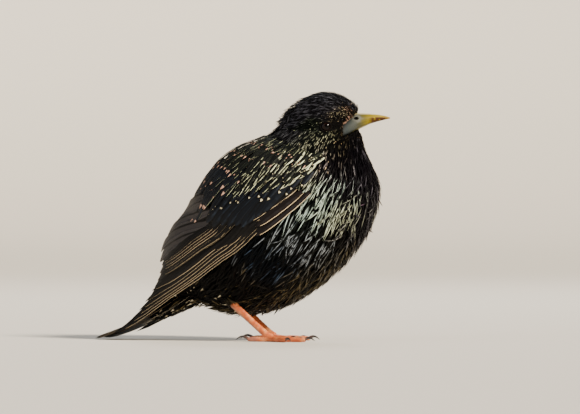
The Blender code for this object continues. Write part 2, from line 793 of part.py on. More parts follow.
for piece in (head, neck, torso, tail(tail_core)):
    finished(piece, PLUMAGE)
finished(upper_bill(), HORN_YELLOW, 0.35)
finished(bill_half("lower_bill", False), HORN_YELLOW, 0.35)
for word, side in SIDES:
    finished(eye("eye_" + word, side), EYE_BROWN, 0.1)
    finished(wing("wing_" + word, side), PLUMAGE)
    foot, shank = foot_and_tarsus(side, word)
    finished(foot, LEG_PINK)
    finished(shank, LEG_PINK)
    leg_top = thigh("thigh", side)
    finished(combined("thigh_" + word, leg_top, [tarsus("cut", side, GAP)], "DIFFERENCE"), PLUMAGE)
    for kind in TOES:
        finished(claw("claw_" + kind + "_" + word, kind, side), CLAW_GREY, 0.4)

# The origin goes under the middle of the whole bird.
corners = np.array([np.array(v.co) for obj in STARLING.objects for v in obj.data.vertices])
middle = (corners.max(0) + corners.min(0)) / 2
for obj in STARLING.objects:
    for v in obj.data.vertices:
        v.co.x -= middle[0]
        v.co.y -= middle[1]
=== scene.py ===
import math

import bmesh
import bpy
import numpy as np
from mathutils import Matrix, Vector
from mathutils.bvhtree import BVHTree
from mathutils.kdtree import KDTree


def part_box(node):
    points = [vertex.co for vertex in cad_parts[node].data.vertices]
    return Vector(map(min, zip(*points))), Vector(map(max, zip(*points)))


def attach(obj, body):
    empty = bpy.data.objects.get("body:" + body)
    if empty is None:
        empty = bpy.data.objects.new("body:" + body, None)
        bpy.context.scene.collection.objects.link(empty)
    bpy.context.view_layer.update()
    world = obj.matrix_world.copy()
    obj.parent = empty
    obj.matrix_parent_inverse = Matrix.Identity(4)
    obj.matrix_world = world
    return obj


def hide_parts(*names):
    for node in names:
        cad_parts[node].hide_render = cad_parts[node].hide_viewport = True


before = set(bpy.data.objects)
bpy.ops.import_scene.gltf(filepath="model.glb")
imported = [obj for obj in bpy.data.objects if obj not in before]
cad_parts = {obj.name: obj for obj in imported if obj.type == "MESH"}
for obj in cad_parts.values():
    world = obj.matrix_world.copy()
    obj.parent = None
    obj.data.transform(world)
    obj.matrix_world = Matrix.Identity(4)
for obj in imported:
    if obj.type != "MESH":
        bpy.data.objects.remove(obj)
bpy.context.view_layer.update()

# Skin. The starling's body under its plumage: trunk, neck, head and thighs as one dark, dull surface,
# so that no seam shows where the solids are parted. It is lofted through the same rings as the solids,
# melted into one mesh and drawn in by the depth of the feathers that cover it.
MM = 0.001
SIDES = (("left", 1), ("right", -1))
TRUNK_RINGS = np.array((  # back point x and z, belly point x and z, half width, from neck to tail
    (30.0, 117.0, 45.0, 114.0, 6.0),
    (19.5, 118.0, 49.0, 107.5, 7.4),
    (13.5, 115.0, 51.5, 101.0, 9.2),
    (10.0, 110.5, 54.0, 94.5, 13.0),
    (5.0, 105.5, 57.5, 86.5, 19.2),
    (-2.0, 101.5, 59.5, 78.5, 25.2),
    (-11.5, 98.0, 58.5, 68.5, 29.5),
    (-20.0, 92.5, 55.0, 59.0, 32.0),
    (-27.5, 84.5, 49.5, 49.5, 33.5),
    (-33.5, 75.5, 42.0, 40.0, 33.5),
    (-37.5, 66.0, 33.0, 31.5, 31.5),
    (-39.5, 56.5, 22.5, 24.0, 27.5),
    (-41.0, 49.0, 8.0, 17.0, 22.0),
    (-42.0, 43.0, -9.0, 14.0, 16.5),
    (-42.8, 37.8, -22.5, 15.5, 12.0),
    (-43.2, 32.7, -32.8, 18.8, 9.0),
    (-48.2, 26.1, -40.4, 16.1, 8.0),
    (-54.6, 18.6, -50.2, 12.0, 7.2),
    (-62.0, 12.1, -60.0, 8.7, 6.0),
))
HEAD_RINGS = np.array((  # the same, from bill to nape, before the head is turned
    (49.4, 113.4, 49.2, 105.6, 3.6),
    (48.2, 116.8, 47.8, 103.6, 5.2),
    (44.8, 120.2, 45.5, 101.2, 7.3),
    (40.3, 122.8, 42.5, 98.6, 9.4),
    (34.6, 124.2, 38.5, 96.2, 11.0),
    (28.6, 123.8, 34.5, 94.6, 11.8),
    (22.6, 121.5, 30.5, 94.2, 11.8),
    (17.9, 118.5, 26.0, 95.5, 10.8),
    (14.6, 115.3, 21.5, 98.0, 8.6),
    (12.8, 112.3, 17.6, 101.0, 5.2),
))
HEAD_TURN = math.radians(20)  # to the bird's left
TURN_CENTRE_X = 29.0
TURNED_RINGS = 4.0  # the turn dies out over this many trunk rings
THIGH = np.array(((6.0, 12.0, 36.0), (-4.0, 13.5, 29.5), (-10.0, 14.2, 24.0), (-13.0, 14.4, 21.0)))
THIGH_RADII = (7.5, 7.2, 4.4, 2.5)
LEG_SETBACK = {1: 6.8, -1: -1.7}  # the left foot stands behind the right one
EYE = np.array((32.7, 9.1, 106.8))
SKIN_SIDES = 48
THIGH_SIDES = 16
SKIN_VOXEL = 0.9
SKIN_SMOOTHINGS = 16
BODY_COAT = 1.5  # how thick the plumage lies on the body
FACE_COAT = 0.55
FACE_REACH = 13.0  # the coat is thin within this distance of an eye
COAT_THICKENS = 16.0  # and full this much further on


def ring_at(rings, u):
    """The rings at places u along a table of rings, on a smooth curve through them."""
    table = np.vstack((2 * rings[0] - rings[1], rings, 2 * rings[-1] - rings[-2]))
    u = np.clip(u, 0.0, len(rings) - 1.0)
    i = np.minimum(u.astype(int), len(rings) - 2)
    t = (u - i)[..., None]
    before, a, b, after = (table[i + k] for k in range(4))
    bend = 2 * before - 5 * a + 4 * b - after
    return 0.5 * (2 * a + (b - before) * t + bend * t * t + (3 * a - before - 3 * b + after) * t**3)


def ring_point(rings, u, angle):
    """Points on a surface of rings: angle 0 on the back, pi on the belly, the left side positive."""
    ring = ring_at(rings, u)
    c = np.cos(angle)
    x = (ring[..., 0] + ring[..., 2]) / 2 + (ring[..., 0] - ring[..., 2]) / 2 * c
    z = (ring[..., 1] + ring[..., 3]) / 2 + (ring[..., 1] - ring[..., 3]) / 2 * c
    return np.stack((x, ring[..., 4] * np.sin(angle), z), -1)


def turned(points, share=1.0):
    """Points turned about the upright line through the neck, by a share of the head's turn."""
    c, s = np.cos(HEAD_TURN * share), np.sin(HEAD_TURN * share)
    x, y = points[..., 0] - TURN_CENTRE_X, points[..., 1]
    return np.stack((TURN_CENTRE_X + x * c - y * s, x * s + y * c, points[..., 2]), -1)


def smooth(t):
    """Eases from 0 to 1 as t does."""
    t = np.clip(t, 0.0, 1.0)
    return t * t * (3 - 2 * t)


def unit(vectors):
    """Vectors brought to length one."""
    return vectors / np.maximum(np.linalg.norm(vectors, axis=-1, keepdims=True), 1e-9)


def trunk_point(u, angle):
    """Places on the trunk, whose foremost rings turn with the head."""
    return turned(ring_point(TRUNK_RINGS, u, angle), 1 - smooth(u / TURNED_RINGS))


def head_point(u, angle):
    """Places on the head."""
    return turned(ring_point(HEAD_RINGS, u, angle))


# The solids' origin is under the middle of the whole bird, so the rings' is found from an eye.
eye_low, eye_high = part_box("eye_right")
SHIFT = np.array((eye_low + eye_high) / 2) / MM - turned(EYE * (1, -1, 1))


def placed(points):
    """Points in the rings' millimetres as metres in the frame."""
    return (np.asarray(points) + SHIFT) * MM


def loft(bm, rings, endless=False):
    """Bridges rings of points into a closed tube, or into a hoop if it is endless."""
    loops = []
    for ring in rings:
        verts = bmesh.ops.create_circle(bm, segments=len(ring), radius=1.0)["verts"]
        for vert, point in zip(verts, placed(ring)):
            vert.co = point
        loops.append(list({edge for vert in verts for edge in vert.link_edges}))
    ends = loops[0] + loops[-1]
    for loop, after in zip(loops, loops[1:] + (loops[:1] if endless else [])):
        bmesh.ops.bridge_loops(bm, edges=loop + after)
    if not endless:
        bmesh.ops.holes_fill(bm, edges=ends)


def put(name, data):
    """A new object in the scene, at the origin."""
    made = bpy.data.objects.new(name, data)
    bpy.context.scene.collection.objects.link(made)
    return made


def object_from(bm, name):
    """A smooth-shaded object from a bmesh, with its faces outwards."""
    bmesh.ops.recalc_face_normals(bm, faces=bm.faces)
    mesh = bpy.data.meshes.new(name)
    bm.to_mesh(mesh)
    bm.free()
    mesh.shade_smooth()
    return put(name, mesh)


def apply_modifiers(obj):
    """Makes what an object's modifiers show its own mesh."""
    bpy.context.view_layer.update()
    graph = bpy.context.evaluated_depsgraph_get()
    mesh = bpy.data.meshes.new_from_object(obj.evaluated_get(graph))
    obj.modifiers.clear()
    obj.data = mesh


def melt(obj, voxel, smoothings):
    """Melts an object's overlapping closed forms into one smooth surface."""
    remesh = obj.modifiers.new("melt", "REMESH")
    remesh.mode = "VOXEL"
    remesh.voxel_size = voxel * MM
    remesh.use_smooth_shade = True
    soften = obj.modifiers.new("soften", "SMOOTH")
    soften.iterations = smoothings
    apply_modifiers(obj)


def in_mm(mesh):
    """A mesh's vertices in the rings' millimetres."""
    return np.array([v.co for v in mesh.vertices]) / MM - SHIFT


def tube_rings(path, radii, sides, flat=1.0):
    """Rings round a path that runs mostly fore and aft, flat times as wide as tall."""
    along = unit(np.gradient(path, axis=0))
    upright = unit(np.cross(along, (0, 1, 0)))
    across = np.cross(along, upright)
    a = np.linspace(0, 2 * math.pi, sides, endpoint=False)[None, :, None]
    radii = np.asarray(radii)[:, None, None]
    return path[:, None] + radii * (across[:, None] * flat * np.cos(a) + upright[:, None] * np.sin(a))


def leg_points(points, side):
    """A leg's places on its side of the bird, as far back as its foot stands."""
    return np.asarray(points) * (1, side, 1) - (LEG_SETBACK[side], 0, 0)


def coat_depth(points):
    """How thick the plumage is over places in the rings' millimetres: thin on the face."""
    from_eye = np.linalg.norm(points - turned(EYE * (1, 0, 1)), axis=-1)
    return FACE_COAT + (BODY_COAT - FACE_COAT) * smooth((from_eye - FACE_REACH) / COAT_THICKENS)


BILL_SECTIONS = np.array((  # place along the head, top, line of the mouth, lower edge and half width
    (40.4, 107.9, 103.3, 101.2, 7.5),
    (44.6, 111.5, 105.8, 103.0, 6.8),
    (47.6, 114.0, 107.8, 105.0, 5.6),
    (50.6, 113.8, 109.0, 106.5, 4.5),
    (54.6, 113.5, 110.1, 108.4, 3.3),
    (58.6, 113.1, 110.8, 109.6, 2.2),
    (62.1, 112.4, 111.1, 110.5, 1.1),
    (64.4, 111.6, 111.2, 110.95, 0.35),
))
# How high, and how far forward the feathers reach over the bill there.
FEATHER_LINE = ((102.0, 40.2), (106.5, 40.4), (110.0, 42.2), (111.5, 44.8), (113.2, 48.0), (114.5, 49.0))
UPPER_ROUNDNESS = 0.85  # of the upper half's section: 1 is a half circle, and less is squarer
HORN_BARE = 0.9  # no feather of the head or neck lies over the horn further forward than this
HORN_ON_SKIN = 1.2  # how far the skin lies under the horn of the bill


def unturned(points):
    """Points in the head's own frame, before its turn."""
    c, s = math.cos(HEAD_TURN), math.sin(HEAD_TURN)
    x, y = points[..., 0] - TURN_CENTRE_X, points[..., 1]
    return np.stack((TURN_CENTRE_X + x * c + y * s, -x * s + y * c, points[..., 2]), -1)


def bill_at(x):
    """The bill's top, line of the mouth, lower edge and half width at places along the head."""
    return [np.interp(x, BILL_SECTIONS[:, 0], column) for column in BILL_SECTIONS.T[1:]]


def up_the_bill(points):
    """The height of places in the head's own frame: 0 on the line of the mouth, 1 on top, -1 below."""
    top, mouth, low, _ = bill_at(points[..., 0])
    above = points[..., 2] - mouth
    return above / np.where(above > 0, top - mouth, mouth - low)


def bill_half_width(points):
    """Half the bill's width at the height of places in the head's own frame, or -1 off the bill."""
    half = bill_at(points[..., 0])[3]
    level = np.abs(up_the_bill(points))
    across = half * np.sqrt(np.clip(1 - level ** (2 / UPPER_ROUNDNESS), 0, 1))
    return np.where((points[..., 0] > BILL_SECTIONS[0, 0]) & (level < 1), across, -1.0)


def feather_line(levels):
    """How far forward the feathers reach over the bill's base, at heights in the head's own frame."""
    return np.interp(levels, *np.array(FEATHER_LINE).T)


def off_the_horn(lines):
    """Which lines have no place over the bare horn of the bill."""
    head_frame = unturned(lines)
    beyond = head_frame[..., 0] > feather_line(head_frame[..., 2]) + HORN_BARE
    return ~(beyond & (bill_half_width(head_frame) > 0)).any(axis=1)


angles = np.linspace(0, 2 * math.pi, SKIN_SIDES, endpoint=False)
bm = bmesh.new()
for surface, rings in ((trunk_point, TRUNK_RINGS), (head_point, HEAD_RINGS)):
    stations = np.arange(0, len(rings) - 0.9, 0.5)
    loft(bm, [surface(np.full(SKIN_SIDES, u), angles) for u in stations])
for _, side in SIDES:
    loft(bm, tube_rings(leg_points(THIGH, side), THIGH_RADII, THIGH_SIDES))
skin = object_from(bm, "skin")
melt(skin, SKIN_VOXEL, SKIN_SMOOTHINGS)
skin_mm = in_mm(skin.data)
skin_normals = np.array([v.normal for v in skin.data.vertices])
skin_mm -= skin_normals * coat_depth(skin_mm)[:, None]
head_frame = unturned(skin_mm)
under_horn = bill_half_width(head_frame) - HORN_ON_SKIN
tucked = (under_horn > 0) & (np.abs(head_frame[:, 1]) > under_horn)
head_frame[:, 1] = np.where(tucked, np.sign(head_frame[:, 1]) * under_horn, head_frame[:, 1])
skin.data.vertices.foreach_set("co", placed(turned(head_frame)).astype(np.float32).ravel())
skin.data.update()
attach(skin, "root")
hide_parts("head", "neck", "torso", "thigh_left", "thigh_right")

# The same surface in the rings' millimetres, for setting feathers on.
bm = bmesh.new()
bm.from_mesh(skin.data)
for vert in bm.verts:
    vert.co = Vector(vert.co) / MM - Vector(SHIFT)
SKIN_SURFACE = BVHTree.FromBMesh(bm)
bm.free()


def linear(colour):
    """A six-digit sRGB hex colour as linear red, green, blue and full alpha."""
    parts = [int(colour[i : i + 2], 16) / 255 for i in (1, 3, 5)]
    return tuple(c / 12.92 if c <= 0.04045 else ((c + 0.055) / 1.055) ** 2.4 for c in parts) + (1.0,)


def new_material(name, **inputs):
    """A Principled material with its fixed values set on the shader's own sockets."""
    material = bpy.data.materials.new(name)
    material.use_nodes = True
    shader = material.node_tree.nodes["Principled BSDF"]
    for label, value in inputs.items():
        shader.inputs[label.replace("_", " ")].default_value = value
    return material, shader


def add_node(material, kind, links=(), stops=(), **settings):
    """Adds a node, with links of (input, output) and a colour ramp's stops of (value, colour).

    A setting is one of its properties, or one of its inputs, as From_Min or by its number, as in0.
    """
    node = material.node_tree.nodes.new("ShaderNode" + kind)
    for label, value in settings.items():
        if label[0].isupper():
            node.inputs[label.replace("_", " ")].default_value = value
        elif label.startswith("in") and label[2:].isdigit():
            node.inputs[int(label[2:])].default_value = value
        else:
            setattr(node, label, value)
    for socket, source in links:
        material.node_tree.links.new(node.inputs[socket], source)
    if stops:
        elements = node.color_ramp.elements
        elements.remove(elements[-1])
        elements[0].position = stops[0][0]
        elements[0].color = linear(stops[0][1])
        for at, colour in stops[1:]:
            elements.new(at).color = linear(colour)
    return node


def connect(material, source, target):
    """Links a node to the material's own shader."""
    material.node_tree.links.new(source, target)


# Body plumage. Starling feathers are narrow and pointed: short on the face, long loose hackles on the
# throat and breast, broader on the back. Each is a closed keratin vane with a raised shaft, rooted in
# the skin and lying along it, black with a green, teal or violet gloss, and some have a worn pale tip.
COAL = "#0a0a0e"
SOOT = "#060505"
GREEN_BLACK = "#070b09"
VIOLET_BLACK = "#09070c"
BLUE_BLACK = "#06090e"
OLIVE_BLACK = "#0b0a07"
# The gloss colours are laid into the feathers' colour as streaks: partly their own green, teal and violet
# sheen, partly painted highlights. The palest, steel, teal and moss, are painted highlights of the key lamp's
# glints.
SLATE_GLOSS = "#54555f"
STEEL_SHEEN_AND_HIGHLIGHT = "#98a1ab"
TEAL_SHEEN_AND_HIGHLIGHT = "#d6f3ea"
MOSS_SHEEN_AND_HIGHLIGHT = "#e6ecc6"
FERN_GLOSS = "#515b49"
MAUVE_GLOSS = "#a989a6"
VIOLET_GLOSS = "#54515c"
OLIVE_GLOSS = "#6d6144"
BLUE_GLOSS = "#3c4e66"
CREAM_TIP = "#e4d9b3"
MOSS_TIP = "#cbd2ac"
ROSE_TIP = "#dbae98"
FAWN_TIP = "#c9a277"
WHITE_TIP = "#d8cdb2"
# Each region: place along the rings and degrees from the back; a feather's length and width; how far
# its tip rises and how loose it lies; colour; gloss and how many have it, the gloss being a painted
# highlight streak that is commonest on the shoulder and breast side, where the key lamp falls most;
# tip and how many have it.
HEAD_REGIONS = (
    (0.4, 15, 2.6, 0.45, 1.0, 1.8, COAL, SLATE_GLOSS, 0.40, FAWN_TIP, 0.00),
    (1.0, 50, 2.2, 0.45, 0.5, 0.9, COAL, SLATE_GLOSS, 0.30, FAWN_TIP, 0.02),
    (0.8, 100, 1.6, 0.45, 0.3, 0.5, SOOT, SLATE_GLOSS, 0.02, FAWN_TIP, 0.02),
    (1.2, 44, 2.6, 0.42, 0.5, 0.5, COAL, SLATE_GLOSS, 0.30, ROSE_TIP, 0.06),
    (2.1, 61, 2.2, 0.32, 0.4, 0.2, SOOT, OLIVE_GLOSS, 0.05, ROSE_TIP, 0.34),
    (2.7, 73, 2.0, 0.30, 0.3, 0.2, SOOT, OLIVE_GLOSS, 0.05, CREAM_TIP, 0.40),
    (3.3, 82, 1.9, 0.30, 0.3, 0.2, SOOT, OLIVE_GLOSS, 0.05, CREAM_TIP, 0.36),
    (3.9, 88, 1.8, 0.42, 0.2, 0.3, SOOT, OLIVE_GLOSS, 0.02, CREAM_TIP, 0.06),
    (2.6, 50, 2.8, 0.45, 0.4, 0.6, COAL, SLATE_GLOSS, 0.30, CREAM_TIP, 0.00),
    (3.4, 67, 2.8, 0.45, 0.4, 0.5, COAL, SLATE_GLOSS, 0.30, CREAM_TIP, 0.00),
    (2.6, 97, 1.5, 0.42, 0.2, 0.3, SOOT, SLATE_GLOSS, 0.00, FAWN_TIP, 0.00),
    (3.5, 104, 1.5, 0.42, 0.2, 0.3, SOOT, SLATE_GLOSS, 0.00, FAWN_TIP, 0.00),
    (2.2, 0, 3.6, 0.48, 0.8, 0.8, COAL, SLATE_GLOSS, 0.40, CREAM_TIP, 0.00),
    (2.3, 130, 2.0, 0.45, 0.3, 0.5, SOOT, OLIVE_GLOSS, 0.10, FAWN_TIP, 0.06),
    (2.5, 165, 4.0, 0.55, 0.6, 0.9, SOOT, VIOLET_GLOSS, 0.20, CREAM_TIP, 0.00),
    (4.2, 0, 5.4, 0.52, 1.1, 0.8, COAL, SLATE_GLOSS, 0.45, CREAM_TIP, 0.00),
    (4.2, 55, 4.4, 0.48, 0.6, 0.5, COAL, SLATE_GLOSS, 0.40, CREAM_TIP, 0.00),
    (4.5, 80, 2.6, 0.45, 0.3, 0.4, COAL, SLATE_GLOSS, 0.30, CREAM_TIP, 0.00),
    (5.3, 93, 2.0, 0.45, 0.3, 0.4, GREEN_BLACK, FERN_GLOSS, 0.12, MOSS_TIP, 0.10),
    (4.7, 122, 1.8, 0.45, 0.3, 0.5, GREEN_BLACK, FERN_GLOSS, 0.12, MOSS_TIP, 0.30),
    (5.8, 130, 3.0, 0.50, 0.5, 0.5, GREEN_BLACK, MOSS_SHEEN_AND_HIGHLIGHT, 0.16, MOSS_TIP, 0.30),
    (6.6, 110, 3.4, 0.45, 0.2, 0.2, GREEN_BLACK, FERN_GLOSS, 0.20, MOSS_TIP, 0.00),
    (7.2, 130, 4.0, 0.55, 0.6, 0.5, GREEN_BLACK, MOSS_SHEEN_AND_HIGHLIGHT, 0.20, MOSS_TIP, 0.16),
    (4.5, 165, 10.0, 0.60, 1.2, 0.9, VIOLET_BLACK, VIOLET_GLOSS, 0.22, CREAM_TIP, 0.00),
    (6.5, 165, 12.0, 0.62, 1.5, 0.9, VIOLET_BLACK, VIOLET_GLOSS, 0.22, CREAM_TIP, 0.00),
    (6.5, 0, 6.5, 0.65, 1.7, 1.8, COAL, SLATE_GLOSS, 0.45, CREAM_TIP, 0.00),
    (6.5, 55, 5.5, 0.60, 1.0, 0.8, COAL, SLATE_GLOSS, 0.55, CREAM_TIP, 0.00),
    (8.3, 20, 8.0, 0.70, 2.3, 2.4, COAL, SLATE_GLOSS, 0.60, CREAM_TIP, 0.00),
    (8.3, 75, 6.5, 0.65, 1.2, 0.8, COAL, SLATE_GLOSS, 0.50, CREAM_TIP, 0.00),
    (8.5, 112, 6.0, 0.65, 0.9, 0.6, GREEN_BLACK, FERN_GLOSS, 0.30, MOSS_TIP, 0.10),
)
TRUNK_REGIONS = (
    (1.0, 0, 9.0, 0.70, 1.8, 1.8, COAL, SLATE_GLOSS, 0.60, CREAM_TIP, 0.00),
    (2.6, 30, 9.0, 0.80, 1.4, 1.0, COAL, SLATE_GLOSS, 0.55, CREAM_TIP, 0.00),
    (2.6, 65, 4.5, 0.60, 0.7, 0.5, COAL, SLATE_GLOSS, 0.50, CREAM_TIP, 0.00),
    (3.4, 62, 7.0, 0.80, 1.0, 0.6, COAL, SLATE_GLOSS, 0.50, CREAM_TIP, 0.00),
    (2.2, 90, 2.2, 0.45, 0.3, 0.4, GREEN_BLACK, FERN_GLOSS, 0.25, MOSS_TIP, 0.15),
    (2.7, 101, 3.2, 0.50, 0.4, 0.5, GREEN_BLACK, MOSS_SHEEN_AND_HIGHLIGHT, 0.25, MOSS_TIP, 0.22),
    (3.1, 85, 4.6, 0.55, 0.6, 0.4, GREEN_BLACK, FERN_GLOSS, 0.30, MOSS_TIP, 0.10),
    (3.4, 97, 6.0, 0.65, 0.8, 0.5, GREEN_BLACK, MOSS_SHEEN_AND_HIGHLIGHT, 0.40, MOSS_TIP, 0.12),
    (2.3, 124, 2.4, 0.45, 0.3, 0.5, SOOT, OLIVE_GLOSS, 0.12, FAWN_TIP, 0.05),
    (1.6, 155, 2.4, 0.50, 0.4, 0.6, SOOT, VIOLET_GLOSS, 0.08, FAWN_TIP, 0.05),
    (2.6, 155, 9.0, 0.55, 1.0, 0.8, VIOLET_BLACK, VIOLET_GLOSS, 0.18, CREAM_TIP, 0.00),
    (3.1, 122, 7.0, 0.55, 0.9, 0.7, SOOT, OLIVE_GLOSS, 0.14, FAWN_TIP, 0.02),
    (3.8, 86, 7.5, 0.85, 1.2, 0.6, GREEN_BLACK, FERN_GLOSS, 0.40, ROSE_TIP, 0.10),
    (3.8, 104, 8.0, 0.75, 1.1, 0.6, VIOLET_BLACK, MAUVE_GLOSS, 0.35, ROSE_TIP, 0.02),
    (3.7, 150, 16.0, 0.65, 2.0, 0.8, VIOLET_BLACK, VIOLET_GLOSS, 0.20, CREAM_TIP, 0.00),
    (3.9, 130, 15.0, 0.68, 1.7, 0.7, VIOLET_BLACK, VIOLET_GLOSS, 0.20, CREAM_TIP, 0.00),
    (4.6, 168, 16.0, 0.75, 3.0, 2.0, VIOLET_BLACK, VIOLET_GLOSS, 0.30, MAUVE_GLOSS, 0.01),
    (4.9, 133, 17.0, 0.75, 2.0, 0.7, VIOLET_BLACK, TEAL_SHEEN_AND_HIGHLIGHT, 0.60, CREAM_TIP, 0.00),
    (4.2, 12, 9.0, 1.60, 0.8, 0.5, COAL, SLATE_GLOSS, 0.25, ROSE_TIP, 0.20),
    (4.3, 45, 8.5, 1.10, 1.3, 0.5, COAL, FERN_GLOSS, 0.25, ROSE_TIP, 0.50),
    (5.0, 75, 8.5, 1.05, 1.5, 0.6, GREEN_BLACK, MOSS_SHEEN_AND_HIGHLIGHT, 0.85, CREAM_TIP, 0.20),
    (5.3, 98, 10.5, 1.20, 1.6, 0.6, GREEN_BLACK, MOSS_SHEEN_AND_HIGHLIGHT, 1.00, CREAM_TIP, 0.08),
    (6.2, 116, 17.0, 1.15, 2.0, 0.6, GREEN_BLACK, TEAL_SHEEN_AND_HIGHLIGHT, 0.90, CREAM_TIP, 0.00),
    (5.6, 146, 18.0, 0.80, 2.2, 0.8, VIOLET_BLACK, MOSS_SHEEN_AND_HIGHLIGHT, 0.75, CREAM_TIP, 0.00),
    (6.4, 172, 15.0, 0.95, 3.2, 2.2, VIOLET_BLACK, VIOLET_GLOSS, 0.30, MAUVE_GLOSS, 0.02),
    (5.8, 12, 11.0, 2.40, 0.7, 0.3, COAL, SLATE_GLOSS, 0.25, ROSE_TIP, 0.30),
    (5.8, 42, 11.0, 2.20, 0.9, 0.4, COAL, FERN_GLOSS, 0.35, ROSE_TIP, 0.50),
    (6.2, 68, 11.0, 1.90, 1.5, 0.5, GREEN_BLACK, MOSS_SHEEN_AND_HIGHLIGHT, 0.60, CREAM_TIP, 0.35),
    (7.6, 117, 17.0, 1.05, 2.0, 0.7, GREEN_BLACK, STEEL_SHEEN_AND_HIGHLIGHT, 0.40, CREAM_TIP, 0.00),
    (7.8, 145, 16.0, 1.00, 2.1, 0.8, OLIVE_BLACK, STEEL_SHEEN_AND_HIGHLIGHT, 0.34, CREAM_TIP, 0.00),
    (8.0, 172, 14.0, 1.00, 2.8, 1.8, OLIVE_BLACK, OLIVE_GLOSS, 0.42, CREAM_TIP, 0.00),
    (8.3, 12, 12.0, 3.00, 0.8, 0.3, COAL, BLUE_GLOSS, 0.35, ROSE_TIP, 0.25),
    (8.8, 48, 13.0, 3.00, 1.0, 0.3, BLUE_BLACK, BLUE_GLOSS, 0.50, FAWN_TIP, 0.10),
    (9.3, 122, 15.0, 1.10, 1.9, 0.6, BLUE_BLACK, BLUE_GLOSS, 0.16, CREAM_TIP, 0.00),
    (9.5, 160, 14.5, 0.95, 2.4, 1.2, OLIVE_BLACK, OLIVE_GLOSS, 0.38, CREAM_TIP, 0.00),
    (11.0, 20, 11.0, 2.60, 1.8, 0.4, GREEN_BLACK, FERN_GLOSS, 0.35, FAWN_TIP, 0.10),
    (11.3, 112, 13.0, 1.40, 1.8, 0.6, SOOT, OLIVE_GLOSS, 0.03, CREAM_TIP, 0.00),
    (11.5, 160, 13.0, 1.00, 2.8, 1.8, OLIVE_BLACK, OLIVE_GLOSS, 0.32, CREAM_TIP, 0.00),
    (12.8, 165, 11.0, 1.00, 3.0, 2.6, OLIVE_BLACK, OLIVE_GLOSS, 0.35, WHITE_TIP, 0.05),
    (13.2, 115, 11.0, 1.60, 1.7, 0.7, SOOT, OLIVE_GLOSS, 0.08, WHITE_TIP, 0.08),
    (14.5, 20, 9.5, 2.40, 1.5, 0.4, GREEN_BLACK, FERN_GLOSS, 0.35, FAWN_TIP, 0.10),
    (14.8, 130, 10.0, 1.80, 1.6, 0.8, SOOT, OLIVE_GLOSS, 0.20, WHITE_TIP, 0.35),
    (17.2, 20, 9.0, 2.40, 1.3, 0.3, GREEN_BLACK, FERN_GLOSS, 0.30, FAWN_TIP, 0.10),
    (17.2, 150, 9.0, 2.20, 1.4, 0.5, SOOT, OLIVE_GLOSS, 0.20, WHITE_TIP, 0.40),
)
HEAD_REACH = (0.6, 10.0)  # how far a region's looks reach, in rings and in degrees
TRUNK_REACH = (0.8, 16.0)
PLUME_STEPS = 6
PLUME_SHARES = np.linspace(0, 1, PLUME_STEPS) ** 0.9
PLUME_OUTLINE = np.interp(PLUME_SHARES, (0, 0.3, 0.6, 0.85, 1), (0.55, 0.95, 1.0, 0.62, 0.0))
PLUME_SECTION = np.array(((-1.0, 0.0), (0.0, 0.34), (1.0, 0.0)))  # across and up, in half widths
SPACING_ACROSS = 0.68  # of a feather's width
SPACING_ALONG = 0.4  # of its length
PATCH = 0.003  # a feather's size on the unwrap
EYE_CLEAR = (2.55, 2.2)  # half the bare opening round an eye, fore and aft and up and down
EYE_CROSSED = 0.7  # a feather that comes nearer than this share of it is left out
EYE_DEPTH = 5.0  # only what lies this near to an eye's middle, from side to side, moves aside
EYE_BARE = 3.1  # no feather roots nearer to the middle of an eye
BARB_SLANT = 1.3  # how far a barb runs forward for each millimetre outward
RING_SAMPLES = 181
CLOSEST_ROWS = 12  # the percentage of a row's feathers that find the next row too far off
ROOT_REACH = 2.6  # no feather roots where its ring is further than this from the skin
ROOT_BENEATH = 0.5  # or lies deeper than this under it
ROOT_DEPTH = 0.35  # how deep in the skin a feather roots


def looks_at(regions, u, degrees):
    """Length, width, rise, looseness, gloss share and tip share, and the three colours, at places."""
    middles = np.array([region[:2] for region in regions])
    along, around = HEAD_REACH if regions is HEAD_REGIONS else TRUNK_REACH
    gap = ((u[:, None] - middles[:, 0]) / along) ** 2
    gap += ((np.abs(degrees)[:, None] - middles[:, 1]) / around) ** 2
    weights = np.exp(-(gap - gap.min(1, keepdims=True)))
    weights /= weights.sum(1, keepdims=True)
    numbers = weights @ np.array([(*region[2:6], region[8], region[10]) for region in regions])
    colours = [weights @ np.array([linear(region[k])[:3] for region in regions]) for k in (6, 7, 9)]
    return numbers, colours


def store(mesh, label, values):
    """Keeps a number or a colour for each vertex of a mesh, for its material to read."""
    kind, field = ("FLOAT_COLOR", "color") if values.ndim > 1 else ("FLOAT", "value")
    mesh.attributes.new(label, kind, "POINT").data.foreach_set(field, values.astype(np.float32).ravel())


